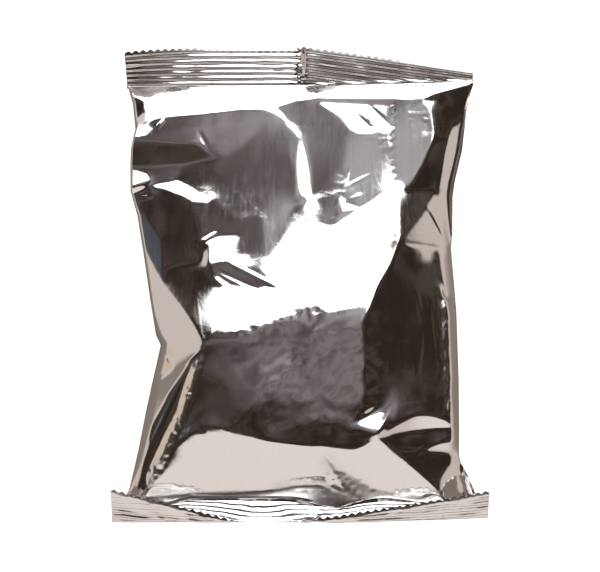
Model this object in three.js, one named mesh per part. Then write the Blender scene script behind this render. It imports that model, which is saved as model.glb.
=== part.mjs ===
// A coffee pillow pack of metallised film, full and shut, lying on its back.
// Millimetres. X runs across the pack, Y from the bottom seal to the top seal, +Z is up.
// The origin is on the table, at the middle of the pack.
import * as THREE from "three";

// ---- Driving sizes ---------------------------------------------------------------------
const TOP_ROOT_Y = 73.5; // where the top seal starts
const FOLD_LINE_Y = -85.5; // where the bottom seal turns back over itself
const TOP_HALF_WIDTH = 64;
const BOTTOM_HALF_WIDTH = 66.5;
const SEAL_HEIGHT = 14; // root to tip of the teeth
const TOOTH_HEIGHT = 1.2;
const SEAL_THICKNESS = 0.6;
const RIDGE_HEIGHT = 0.3; // each crimp ridge stands this far off the middle of the seal

const TOP_ROOT_HEIGHT = { middle: 12, left: 9.5, right: 9 };
const BOTTOM_ROOT_HEIGHT = { middle: 17, left: 14, right: 14 };

const FRONT_ROUNDING = 5; // radius that the front film turns over at a side edge
const BACK_ROUNDING = { side: 16, top: 24, bottom: 18 };

// ---- Mesh counts -----------------------------------------------------------------------
const COLUMNS = 48; // one tooth each
const BODY_ROWS = 28;
const SEAL_ROWS = 10;
const EDGE_CROWDING = 0.06; // draws the outer columns of the body towards the side edges
const RELAX_SWEEPS = 500;
const OVER_RELAX = 1.7;

// ---- Side edges ------------------------------------------------------------------------
// Each point is where the front film meets the back film: how far up, across and high.
const LEFT_EDGE = [
  [-86, -66.5, 14], [-74, -60.5, 15], [-47, -55, 16], [-30, -51.5, 17], [-23, -50, 17],
  [-7, -54, 15], [24, -59, 13], [44, -62, 11.5], [56, -60, 11], [74, -64, 9.5],
];
const RIGHT_EDGE = [
  [-86, 66.5, 14], [-72, 60.5, 16], [-64, 56.5, 16.5], [-36, 56.5, 17], [3, 55.5, 16],
  [13, 55, 14.5], [31, 55.5, 13], [48, 59.5, 11], [66, 62, 10], [74, 64, 9],
];

// ---- Panels of the front film ----------------------------------------------------------
// Film under tension breaks into flat panels between creases. Each has an outline, leans by
// so many degrees, and faces a compass direction: 0 is the top seal and 90 is the right edge.
// A firm panel keeps its lean, a steady one nearly does, and a slack one takes up what its
// neighbours leave over.
const FIRM = 2;
const STEADY = 1;
const SLACK = 0.3;
const LOOSE = 0.05; // film outside every panel
const PANELS = [
  { name: "shoulder", lean: 27, facing: 0, hold: SLACK,
    outline: [[-65, 75], [66, 75], [47, 67], [16, 68], [-10, 63], [-36, 62], [-54, 59], [-59, 54]] },
  { name: "upper left", lean: 5, facing: 0, hold: FIRM,
    outline: [[-59, 54], [-36, 62], [-13, 63], [-20, 50], [-34, 49], [-58, 51]] },
  { name: "hollow band", lean: 13, facing: 180, hold: FIRM,
    outline: [[-58, 51], [-34, 49], [-32, 44], [-45, 41], [-60, 42]] },
  { name: "upper panel", lean: 8, facing: -10, hold: FIRM,
    outline: [[-13, 62], [-1, 51], [0, 28], [-5, 13], [-8, -4], [-24, 0], [-31, 27], [-54, 35],
      [-60, 42], [-32, 44], [-20, 50]] },
  { name: "left panel", lean: 12, facing: -50, hold: FIRM,
    outline: [[-60, 31], [-42, 29], [-36, 14], [-27, -5], [-32, -24], [-49, -1], [-57, 22]] },
  { name: "rise to the belly", lean: 24, facing: 0, hold: STEADY,
    outline: [[0, 27], [7, 17], [21, 26], [35, 32], [35, 13], [20, -18], [-12, -16], [-32, -24],
      [-27, -5], [-8, -4], [-5, 13]] },
  { name: "step beside the upper panel", lean: 22, facing: 50, hold: SLACK,
    outline: [[-13, 63], [-4, 60], [3, 43], [6, 23], [0, 27], [-1, 51]] },
  { name: "tongue", lean: 8, facing: 0, hold: FIRM,
    outline: [[-10, 63], [1, 66], [15, 59], [19, 51], [14, 32], [7, 17], [3, 43], [-4, 60]] },
  { name: "upper middle", lean: 17, facing: 0, hold: SLACK,
    outline: [[5, 64], [16, 67], [35, 67], [36, 55], [19, 53]] },
  { name: "middle", lean: 12, facing: 0, hold: FIRM,
    outline: [[19, 53], [36, 55], [35, 32], [21, 27], [15, 32]] },
  { name: "upper right", lean: 12, facing: 60, hold: FIRM,
    outline: [[36, 66], [47, 67], [64, 73], [56, 59], [55, 44], [46, 26], [35, 13], [35, 32]] },
  { name: "upper right side", lean: 35, facing: 85, hold: SLACK,
    outline: [[56, 59], [61, 64], [59, 48], [55, 29], [46, 26], [55, 44]] },
  { name: "right dent", lean: 31, facing: 92, hold: SLACK,
    outline: [[35, 13], [46, 26], [55, 29], [53, 11], [45, 8]] },
  { name: "right panel", lean: 19, facing: 95, hold: FIRM,
    outline: [[35, 13], [45, 8], [53, 11], [53, -52], [36, -49], [28, -56], [21, -43], [20, -19]] },
  { name: "belly", lean: 2, facing: 0, hold: FIRM,
    outline: [[-5, -17], [20, -19], [21, -42], [-5, -42]] },
  { name: "left of the belly", lean: 8, facing: -70, hold: FIRM,
    outline: [[-32, -24], [-12, -16], [-5, -17], [-5, -42], [-40, -42]] },
  { name: "lower belly", lean: 9, facing: 190, hold: FIRM,
    outline: [[-40, -42], [21, -42], [28, -56], [22, -60], [0, -59], [-33, -52], [-52, -69]] },
  { name: "left side", lean: 36, facing: -85, hold: SLACK,
    outline: [[-57, 22], [-49, -1], [-32, -24], [-43, -33], [-50, -23], [-54, -7]] },
  { name: "lower left side", lean: 38, facing: -80, hold: SLACK,
    outline: [[-50, -23], [-43, -33], [-32, -24], [-47, -38], [-59, -70], [-60, -74], [-52, -37]] },
  { name: "lower left fold", lean: 22, facing: -80, hold: FIRM,
    outline: [[-32, -24], [-47, -38], [-59, -70], [-55, -74], [-45, -54]] },
  { name: "corner ridge", lean: 30, facing: -70, hold: FIRM,
    outline: [[-32, -24], [-45, -54], [-55, -74], [-49, -69], [-37, -42]] },
  { name: "slope to the bottom seal", lean: 38, facing: 180, hold: STEADY,
    outline: [[-52, -76], [-49, -69], [-33, -52], [0, -59], [28, -57], [49, -78]] },
  { name: "lower right corner", lean: 25, facing: 130, hold: FIRM,
    outline: [[28, -57], [42, -60], [56, -62], [51, -67], [49, -78]] },
  { name: "crescent", lean: 32, facing: 150, hold: SLACK,
    outline: [[28, -56], [36, -49], [48, -48], [53, -53], [36, -54]] },
  { name: "under the crescent", lean: 12, facing: 110, hold: FIRM,
    outline: [[28, -56], [36, -54], [53, -53], [52, -56], [42, -60]] },
  { name: "right lobe", lean: 38, facing: 120, hold: SLACK,
    outline: [[56, -62], [61, -74], [49, -76], [51, -67]] },
  { name: "left web", lean: 0, facing: 0, hold: FIRM,
    outline: [[-70, -90], [-70, -75], [-50, -75], [-36, -77], [-30, -90]] },
  { name: "right web", lean: 0, facing: 0, hold: FIRM,
    outline: [[70, -90], [70, -75], [50, -76], [30, -77], [20, -90]] },
];

// ---- Small helpers ---------------------------------------------------------------------
const { lerp, clamp, degToRad, smoothstep } = THREE.MathUtils;

// A straight-line reading of a side edge at height y: how far across, and how high.
function edgeAt(edge, y) {
  const last = edge.length - 2;
  let i = 0;
  while (i < last && y > edge[i + 1][0]) i += 1;
  const [y0, x0, z0] = edge[i];
  const [y1, x1, z1] = edge[i + 1];
  const t = clamp((y - y0) / (y1 - y0), 0, 1);
  return { x: lerp(x0, x1, t), z: lerp(z0, z1, t) };
}

// A quarter circle: 0 at an edge and 1 from one radius in.
function rounding(distance, radius) {
  const t = clamp(distance / radius, 0, 1);
  return Math.sqrt(1 - (1 - t) ** 2);
}

function isInside(outline, x, y) {
  let inside = false;
  outline.forEach(([x1, y1], i) => {
    const [x0, y0] = outline[(i + outline.length - 1) % outline.length];
    if (y0 > y !== y1 > y && x < ((x1 - x0) * (y - y0)) / (y1 - y0) + x0) inside = !inside;
  });
  return inside;
}

// The rise per millimetre that the film wants at a place, and how firmly.
function slopeAt(x, y) {
  const panel = PANELS.findLast(({ outline }) => isInside(outline, x, y));
  if (!panel) return { across: 0, up: 0, hold: LOOSE };
  const steepness = -Math.tan(degToRad(panel.lean));
  const facing = degToRad(panel.facing);
  return {
    across: steepness * Math.sin(facing),
    up: steepness * Math.cos(facing),
    hold: panel.hold,
  };
}

// ---- Seals -----------------------------------------------------------------------------
// How far the bottom seal runs before it folds, at x: nothing at its ends, most in the middle.
function bottomFoldStart(x) {
  const [near, far] = x < 0 ? [28, 68] : [10, 74];
  return 9 * (1 - smoothstep(Math.abs(x), near, far));
}

// The bends that each seal takes at x: the angle turned up, where it starts, and its radius.
function topBend(x) {
  const u = x / TOP_HALF_WIDTH;
  return { angle: u < 0 ? 18 + 25 * u * u : 18 + 57 * u ** 1.2, start: 0, radius: 2.5 };
}

function bottomBend(x) {
  const propped = 1 - smoothstep(Math.abs(x + 6), 8, 30);
  return {
    angle: lerp(165, 56, propped),
    start: bottomFoldStart(x) * (1 - propped),
    radius: lerp(0.9, 4, propped),
  };
}

function rootHeight({ middle, left, right }, u) {
  const end = u < 0 ? left : right;
  return lerp(middle, end, u * u);
}

const TOP_SEAL = {
  outward: 1,
  bend: topBend,
  root: (x) => ({
    x,
    y: TOP_ROOT_Y,
    z: rootHeight(TOP_ROOT_HEIGHT, x / TOP_HALF_WIDTH),
  }),
};

const BOTTOM_SEAL = {
  outward: -1,
  bend: bottomBend,
  root: (x) => ({
    x,
    y: FOLD_LINE_Y + bottomFoldStart(x),
    z: rootHeight(BOTTOM_ROOT_HEIGHT, x / BOTTOM_HALF_WIDTH),
  }),
};

// Walks out from the root in small steps, turning up through the bend, to a place on the seal.
function sealPlace(seal, x, distance) {
  const STEP = 0.1;
  const { angle, start, radius } = seal.bend(x);
  const full = degToRad(angle);
  const { y: rootY, z: rootZ } = seal.root(x);
  let y = rootY;
  let z = rootZ;
  let turned = 0;
  for (let s = 0; s < distance; s += STEP) {
    turned = full * clamp((s - start) / (radius * full), 0, 1);
    y += seal.outward * Math.cos(turned) * STEP;
    z += Math.sin(turned) * STEP;
  }
  const normal = new THREE.Vector3(0, -seal.outward * Math.sin(turned), Math.cos(turned));
  return { place: new THREE.Vector3(x, y, z), normal };
}

// The front and back points of a seal, a ridge's height off its middle surface.
function sealPair(seal, x, distance, ridge) {
  const { place, normal } = sealPlace(seal, x, distance);
  const half = SEAL_THICKNESS / 2;
  return {
    front: place.clone().addScaledVector(normal, ridge + half),
    back: place.clone().addScaledVector(normal, ridge - half),
  };
}

// ---- Body ------------------------------------------------------------------------------
// Where a column crosses a row of the body, before any height. The rows run from the arch of
// the bottom root to the straight top root, and the outer columns crowd towards the edges.
function bodyPlan(row, column) {
  const v = row / BODY_ROWS;
  const u = column / COLUMNS;
  const crowding = EDGE_CROWDING * Math.min(1, 8 * v * (1 - v));
  const across = u - crowding * Math.sin(2 * Math.PI * u);
  const flatX = lerp(-BOTTOM_HALF_WIDTH, BOTTOM_HALF_WIDTH, u);
  const y = lerp(BOTTOM_SEAL.root(flatX).y, TOP_ROOT_Y, v);
  const left = edgeAt(LEFT_EDGE, y);
  const right = edgeAt(RIGHT_EDGE, y);
  const pinched = { x: lerp(left.x, right.x, across), y };
  const halfWidth = lerp(BOTTOM_HALF_WIDTH, TOP_HALF_WIDTH, v);
  const straightX = lerp(-halfWidth, halfWidth, across);
  const atRoot = row === 0 || row === BODY_ROWS;
  return { x: atRoot ? straightX : pinched.x, y, left, right, u, v };
}

// Heights of the front film. Every link between neighbouring points asks for the rise of the
// panel that it lies in, and repeated averaging settles the heights that please them all best.
function settleFilm(plan) {
  const height = plan.map((points, row) => points.map(({ x, u }) => {
    const bottom = rootHeight(BOTTOM_ROOT_HEIGHT, 2 * u - 1);
    const top = rootHeight(TOP_ROOT_HEIGHT, 2 * u - 1);
    return lerp(bottom, top, row / BODY_ROWS);
  }));
  const link = (from, to) => {
    const dx = to.x - from.x;
    const dy = to.y - from.y;
    const slope = slopeAt((from.x + to.x) / 2, (from.y + to.y) / 2);
    const rise = slope.across * dx + slope.up * dy;
    return { rise, pull: slope.hold / (dx * dx + dy * dy) };
  };
  const links = plan.map((points, row) => points.map((point, column) => ({
    right: column < COLUMNS ? link(point, points[column + 1]) : null,
    above: row < BODY_ROWS ? link(point, plan[row + 1][column]) : null,
  })));
  for (let sweep = 0; sweep < RELAX_SWEEPS; sweep += 1) {
    for (let row = 1; row < BODY_ROWS; row += 1) {
      for (let column = 0; column <= COLUMNS; column += 1) {
        const here = links[row][column];
        const below = links[row - 1][column].above;
        const before = column > 0 ? links[row][column - 1].right : null;
        let pull = here.above.pull + below.pull;
        let sum = here.above.pull * (height[row + 1][column] - here.above.rise)
          + below.pull * (height[row - 1][column] + below.rise);
        if (here.right) {
          pull += here.right.pull;
          sum += here.right.pull * (height[row][column + 1] - here.right.rise);
        }
        if (before) {
          pull += before.pull;
          sum += before.pull * (height[row][column - 1] + before.rise);
        }
        height[row][column] += OVER_RELAX * (sum / pull - height[row][column]);
      }
    }
  }
  return height;
}

// The height of the seam line between front and back film: a patch stretched over the two
// roots and the two side edges.
function seamHeight({ u, v, left, right }) {
  const bottom = rootHeight(BOTTOM_ROOT_HEIGHT, 2 * u - 1);
  const top = rootHeight(TOP_ROOT_HEIGHT, 2 * u - 1);
  const corner = (side) => lerp(BOTTOM_ROOT_HEIGHT[side], TOP_ROOT_HEIGHT[side], v);
  const ruled = lerp(left.z, right.z, u);
  return ruled + lerp(bottom, top, v) - lerp(corner("left"), corner("right"), u);
}

// The front and back points of the body at one place of the plan.
function bodyPair(point, film) {
  const { x, y, left, right } = point;
  const half = SEAL_THICKNESS / 2;
  const seam = seamHeight(point);
  let front = lerp(left.z, film, rounding(x - left.x, FRONT_ROUNDING));
  front = lerp(right.z, front, rounding(right.x - x, FRONT_ROUNDING));
  const bottomY = BOTTOM_SEAL.root(x).y;
  const flatness = rounding(Math.min(x - left.x, right.x - x), BACK_ROUNDING.side)
    * rounding(TOP_ROOT_Y - y, BACK_ROUNDING.top)
    * rounding(y - bottomY, BACK_ROUNDING.bottom);
  return {
    front: new THREE.Vector3(x, y, front + half),
    back: new THREE.Vector3(x, y, (seam - half) * (1 - flatness)),
  };
}

// ---- The whole skin --------------------------------------------------------------------
function sealRows(seal, halfWidth) {
  const rows = [];
  for (let row = 0; row <= SEAL_ROWS; row += 1) {
    const distance = (row / SEAL_ROWS) * (SEAL_HEIGHT - TOOTH_HEIGHT);
    const flat = row === 0 || row === SEAL_ROWS;
    const ridge = flat ? 0 : (row % 2 ? 1 : -1) * RIDGE_HEIGHT;
    rows.push(Array.from({ length: COLUMNS + 1 }, (_, column) => {
      const x = lerp(-halfWidth, halfWidth, column / COLUMNS);
      return sealPair(seal, x, distance, ridge);
    }));
  }
  return rows;
}

function bodyRows() {
  const plan = Array.from({ length: BODY_ROWS + 1 }, (_, row) =>
    Array.from({ length: COLUMNS + 1 }, (_, column) => bodyPlan(row, column)));
  const film = settleFilm(plan);
  return plan.map((points, row) => points.map((point, column) => bodyPair(point, film[row][column])));
}

// One closed skin: each row is a ring along the front and back again along the back, and each
// end is shut by a row of teeth.
function packGeometry() {
  const bottom = sealRows(BOTTOM_SEAL, BOTTOM_HALF_WIDTH).reverse();
  const top = sealRows(TOP_SEAL, TOP_HALF_WIDTH);
  const rings = [...bottom, ...bodyRows().slice(1, -1), ...top];
  const positions = [];
  const faces = [];
  const addPoint = ({ x, y, z }) => positions.push(x, y, z) / 3 - 1;
  const front = rings.map((pairs) => pairs.map((pair) => addPoint(pair.front)));
  const back = rings.map((pairs) => pairs.map((pair) => addPoint(pair.back)));
  const ringAt = (row) => [...front[row], ...back[row].toReversed()];

  for (let row = 0; row + 1 < rings.length; row += 1) {
    const lower = ringAt(row);
    const upper = ringAt(row + 1);
    lower.forEach((a, i) => {
      const next = (i + 1) % lower.length;
      faces.push([a, lower[next], upper[next]], [a, upper[next], upper[i]]);
    });
  }

  const addTeeth = (row, seal, halfWidth, flip) => {
    const push = (a, b, c) => faces.push(flip ? [a, c, b] : [a, b, c]);
    for (let column = 0; column < COLUMNS; column += 1) {
      const x = lerp(-halfWidth, halfWidth, (column + 0.5) / COLUMNS);
      const tip = sealPair(seal, x, SEAL_HEIGHT, 0);
      const tipFront = addPoint(tip.front);
      const tipBack = addPoint(tip.back);
      const [a, b] = [front[row][column], front[row][column + 1]];
      const [c, d] = [back[row][column], back[row][column + 1]];
      push(a, b, tipFront);
      push(d, c, tipBack);
      push(a, tipFront, tipBack);
      push(a, tipBack, c);
      push(tipFront, b, d);
      push(tipFront, d, tipBack);
    }
  };
  addTeeth(rings.length - 1, TOP_SEAL, TOP_HALF_WIDTH, false);
  addTeeth(0, BOTTOM_SEAL, BOTTOM_HALF_WIDTH, true);

  const geometry = new THREE.BufferGeometry();
  geometry.setAttribute("position", new THREE.Float32BufferAttribute(positions, 3));
  geometry.setIndex(faces.flat());
  geometry.computeVertexNormals();
  return geometry;
}

// Slides a geometry so that the middle of its footprint is over the origin, on the table.
function standOnOrigin(geometry) {
  geometry.computeBoundingBox();
  const { min, max } = geometry.boundingBox;
  return geometry.translate(-(min.x + max.x) / 2, -(min.y + max.y) / 2, -min.z);
}

function metallisedFilm() {
  return new THREE.MeshStandardMaterial({
    name: "metallised_film",
    color: 0xd9d6d3,
    metalness: 1,
    roughness: 0.15,
    flatShading: true,
  });
}

const pack = new THREE.Mesh(standOnOrigin(packGeometry()), metallisedFilm());
pack.name = "pillow_pack";

const coffeePillowPack = new THREE.Group();
coffeePillowPack.name = "coffee_pillow_pack";
coffeePillowPack.add(pack);

export default coffeePillowPack;
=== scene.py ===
"""A coffee pillow pack of metallised film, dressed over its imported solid.

The pack lies on its back. X runs across it, Y from the bottom seal to the top seal and Z is up.
Shapes are worked out in millimetres on numpy grids and become meshes in metres.
"""

import logging
import math
from dataclasses import dataclass, field
from enum import Enum
from typing import Callable, ClassVar

import bpy
import numpy as np
from mathutils import Matrix, Vector

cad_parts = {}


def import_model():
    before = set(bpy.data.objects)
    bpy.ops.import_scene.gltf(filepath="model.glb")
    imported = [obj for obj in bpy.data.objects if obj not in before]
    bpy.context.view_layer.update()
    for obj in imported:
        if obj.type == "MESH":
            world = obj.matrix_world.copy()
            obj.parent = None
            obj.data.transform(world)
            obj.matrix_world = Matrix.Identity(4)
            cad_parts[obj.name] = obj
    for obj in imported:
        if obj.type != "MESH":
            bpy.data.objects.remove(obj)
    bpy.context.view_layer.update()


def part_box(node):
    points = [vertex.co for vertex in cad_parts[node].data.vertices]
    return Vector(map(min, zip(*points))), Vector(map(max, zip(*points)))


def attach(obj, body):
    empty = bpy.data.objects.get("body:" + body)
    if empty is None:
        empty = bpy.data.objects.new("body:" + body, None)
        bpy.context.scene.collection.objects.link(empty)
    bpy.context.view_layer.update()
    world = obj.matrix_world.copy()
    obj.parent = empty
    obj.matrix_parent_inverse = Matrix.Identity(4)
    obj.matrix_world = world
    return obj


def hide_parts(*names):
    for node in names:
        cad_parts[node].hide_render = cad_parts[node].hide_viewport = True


LOG = logging.getLogger("coffee_pack")
MM = 0.001
NODE = "pillow_pack"
Array = np.ndarray
Point = tuple[float, float]
Span = tuple[float, float]
Colour = tuple[float, float, float]
WHITE: Colour = (1.0, 1.0, 1.0)
SILVER: Colour = (0.92, 0.905, 0.895)
NOISE_SPAN: Span = (0.2, 0.8)


# ---- Small helpers ----------------------------------------------------------------------

def lerp(a: Array | float, b: Array | float, t: Array | float) -> Array | float:
    """Blend in a straight line from a to b."""
    return a + (b - a) * t


def smoothstep(x: Array | float, low: float, high: float) -> Array | float:
    """Ease from 0 at low to 1 at high, flat at both ends."""
    t = np.clip((x - low) / (high - low), 0.0, 1.0)
    return t * t * (3.0 - 2.0 * t)


def rounding(distance: Array, radius: float) -> Array:
    """A quarter circle: 0 at an edge and 1 from one radius in."""
    t = np.clip(distance / radius, 0.0, 1.0)
    return np.sqrt(1.0 - (1.0 - t) ** 2)


def soften(values: Array, passes: int) -> Array:
    """Average each point with its neighbours, with weights 1, 2, 1 along both ways of the grid.

    Args:
        values: a grid of values.
        passes: how often to do it.

    Returns:
        The softened grid.
    """
    for _ in range(passes):
        padded = np.pad(values, 1, mode="edge")
        along = padded[:-2] + 2.0 * padded[1:-1] + padded[2:]
        values = (along[:, :-2] + 2.0 * along[:, 1:-1] + along[:, 2:]) / 16.0
    return values


def resized(values: Array, rows: int, columns: int) -> Array:
    """Read a grid at evenly spaced places, in straight lines between its points.

    Args:
        values: a grid of values.
        rows: how many steps the new grid has up.
        columns: how many steps it has across.

    Returns:
        The new grid, of rows + 1 by columns + 1 values.
    """
    r = np.linspace(0, values.shape[0] - 1, rows + 1)
    c = np.linspace(0, values.shape[1] - 1, columns + 1)
    r0 = np.minimum(r.astype(int), values.shape[0] - 2)
    c0 = np.minimum(c.astype(int), values.shape[1] - 2)
    low = lerp(values[r0][:, c0], values[r0][:, c0 + 1], (c - c0)[None])
    high = lerp(values[r0 + 1][:, c0], values[r0 + 1][:, c0 + 1], (c - c0)[None])
    return lerp(low, high, (r - r0)[:, None])


@dataclass(frozen=True)
class Lumps:
    """Soft random lumps, the same on every run, on a square lattice of random values.

    Args:
        size: distance between lumps, in mm across and up.
        seed: which set of lumps.
        turn: how far their rows are turned, in degrees.
    """

    size: Point
    seed: int
    turn: float = 0.0
    lattice_side: ClassVar[int] = 128
    lattice_middle: ClassVar[Point] = (64.3, 64.7)
    strength: ClassVar[float] = 0.6

    def at(self, x: Array, y: Array) -> Array:
        """Blend the random values of the four nearest lattice points with smooth weights.

        Args:
            x: places across the pack, in mm.
            y: places up the pack, in mm.

        Returns:
            Values about 0, mostly between -1 and 1.
        """
        side = self.lattice_side
        lattice = np.random.default_rng(self.seed).standard_normal((side, side)) * self.strength
        cos, sin = math.cos(math.radians(self.turn)), math.sin(math.radians(self.turn))
        gx = (x * cos + y * sin) / self.size[0] + self.lattice_middle[0]
        gy = (y * cos - x * sin) / self.size[1] + self.lattice_middle[1]
        i, j = np.floor(gx).astype(int), np.floor(gy).astype(int)
        tx, ty = smoothstep(gx - i, 0.0, 1.0), smoothstep(gy - j, 0.0, 1.0)
        i, j = i % (side - 1), j % (side - 1)
        low = lerp(lattice[j, i], lattice[j, i + 1], tx)
        high = lerp(lattice[j + 1, i], lattice[j + 1, i + 1], tx)
        return lerp(low, high, ty)


# ---- Sizes that the whole pack shares ---------------------------------------------------

@dataclass(frozen=True)
class PackSizes:
    """Driving sizes of the pack, in mm.

    Args:
        top_root_y: where the top seal starts at the left.
        top_root_climb: how far its root climbs at the right, for each mm across.
        fold_line_y: the pack's bottom edge, where the bottom seal's ends fold.
        top_half_width: half the width of the top seal.
        bottom_half_width: half the width of the bottom seal.
        seal_height: from a seal's root to the tips of its teeth.
        tooth_height: depth of the teeth.
        teeth: how many teeth each seal has.
        top_root_height: how high the top seal's root lies in its middle, left and right.
        bottom_root_height: the same for the bottom seal's root.
        tuck_start: where across the top seal's foot starts to be tucked in.
        tuck_slant: how fast that tuck grows, for each mm across.
        left_fold_end: where across the bottom seal's left fold ends.
        left_fold_slant: how much more is folded for each mm left of there.
        right_fold_end: where across its right fold ends.
        right_fold_slant: how much more is folded for each mm right of there.
        overhang_height: how far above the fold line the film hangs over the bottom seal.
        overhang_sag: the sag's middle across, its spread and its depth.
        right_end_lift: how far the fold line rises at the right end.
    """

    top_root_y: float = 73.2
    top_root_climb: float = 0.034
    fold_line_y: float = -85.4
    top_half_width: float = 64.0
    bottom_half_width: float = 66.5
    seal_height: float = 14.0
    tooth_height: float = 0.9
    teeth: int = 48
    top_root_height: tuple[float, float, float] = (10.0, 8.5, 8.0)
    bottom_root_height: tuple[float, float, float] = (19.2, 14.0, 14.0)
    tuck_start: float = 3.0
    tuck_slant: float = 0.164
    left_fold_end: float = -17.5
    left_fold_slant: float = 0.286
    right_fold_end: float = -10.0
    right_fold_slant: float = 0.15
    overhang_height: float = 7.9
    overhang_sag: tuple[float, float, float] = (12.0, 9.0, 3.0)
    right_end_lift: float = 1.5

    @property
    def valley_reach(self) -> float:
        """How far a seal reaches between two teeth."""
        return self.seal_height - self.tooth_height

    def top_root(self, x: Array) -> Array:
        """Where the top seal starts: level at the left, and climbing in a straight line at the right."""
        return self.top_root_y + self.top_root_climb * np.maximum(0.0, x)

    def top_tuck(self, x: Array) -> Array:
        """How much of the top seal's foot is tucked into the pack: more and more to the right."""
        return self.tuck_slant * np.maximum(0.0, x - self.tuck_start)

    def fold_start(self, x: Array) -> Array:
        """How far the bottom seal runs before it folds: all its height in the middle, and less
        and less along a straight slanting fold to each end."""
        left = self.left_fold_slant * np.maximum(0.0, self.left_fold_end - x)
        right = self.right_fold_slant * np.maximum(0.0, x - self.right_fold_end)
        return self.seal_height - np.where(x < self.left_fold_end, left, right)

    def bottom_tuck(self, x: Array) -> Array:
        """How much of the bottom seal's foot the film hangs over: all that lies above a line at the
        overhang's height, which sags in a bell curve."""
        middle, spread, depth = self.overhang_sag
        edge = self.overhang_height - depth * np.exp(-((x - middle) / spread) ** 2)
        return np.maximum(0.0, self.fold_start(x) - edge)

    def bottom_root_y(self, x: Array) -> Array:
        """Where the bottom seal comes out: level in the middle, and dropping to the fold at its ends."""
        lift = self.right_end_lift * np.maximum(0.0, x / self.bottom_half_width) ** 2
        return self.fold_line_y + lift + self.fold_start(x) - self.bottom_tuck(x)

    @staticmethod
    def root_height(heights: tuple[float, float, float], u: Array) -> Array:
        """Height of a root, which falls from its middle to each end with the square of u."""
        middle, left, right = heights
        return lerp(middle, np.where(u < 0, left, right), u * u)

    def roots(self, u: Array) -> tuple[Array, Array]:
        """Heights of the bottom root and of the top root at each u."""
        return self.root_height(self.bottom_root_height, u), self.root_height(self.top_root_height, u)


SIZES = PackSizes()


# ---- The film's panels ------------------------------------------------------------------

class Hold(Enum):
    """How firmly a panel keeps its lean against its neighbours."""

    CRISP = 20.0
    FIRM = 5.0
    STEADY = 1.0
    SLACK = 0.3
    LOOSE = 0.05


@dataclass(frozen=True)
class Panel:
    """A flat of taut film between creases.

    Args:
        name: which panel.
        lean: degrees that the panel leans from level.
        facing: the compass direction it faces, 0 to the top seal and 90 to the right edge.
        hold: how firmly it keeps its lean.
        outline: its corners, in mm.
        softness: how wide the bend at its outline is, in mm.
    """

    name: str
    lean: float
    facing: float
    hold: Hold
    outline: tuple[Point, ...]
    softness: float = 1.5

    def cover(self, x: Array, y: Array) -> Array:
        """How much of each place belongs to the panel: 1 well inside it and 0 well outside.

        The distance to the outline is the least distance to any of its sides, and counts as
        inside where an odd number of sides cross the line out to the left.

        Args:
            x: places across, in mm.
            y: places up, in mm.

        Returns:
            The share of each place, eased across the soft outline.
        """
        nearest = np.full(x.shape, np.inf)
        inside = np.zeros(x.shape, dtype=bool)
        for (x1, y1), (x0, y0) in zip(self.outline, self.outline[-1:] + self.outline[:-1]):
            dx, dy = x1 - x0, y1 - y0
            along = np.clip(((x - x0) * dx + (y - y0) * dy) / (dx * dx + dy * dy), 0.0, 1.0)
            nearest = np.minimum(nearest, np.hypot(x - x0 - along * dx, y - y0 - along * dy))
            if dy != 0:
                inside ^= ((y0 > y) != (y1 > y)) & (x < dx * (y - y0) / dy + x0)
        half = self.softness / 2.0
        return smoothstep(np.where(inside, nearest, -nearest), -half, half)

    def slope(self) -> Point:
        """Rise per mm across and up that gives the panel its lean and facing."""
        steepness = -math.tan(math.radians(self.lean))
        facing = math.radians(self.facing)
        return steepness * math.sin(facing), steepness * math.cos(facing)


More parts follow.
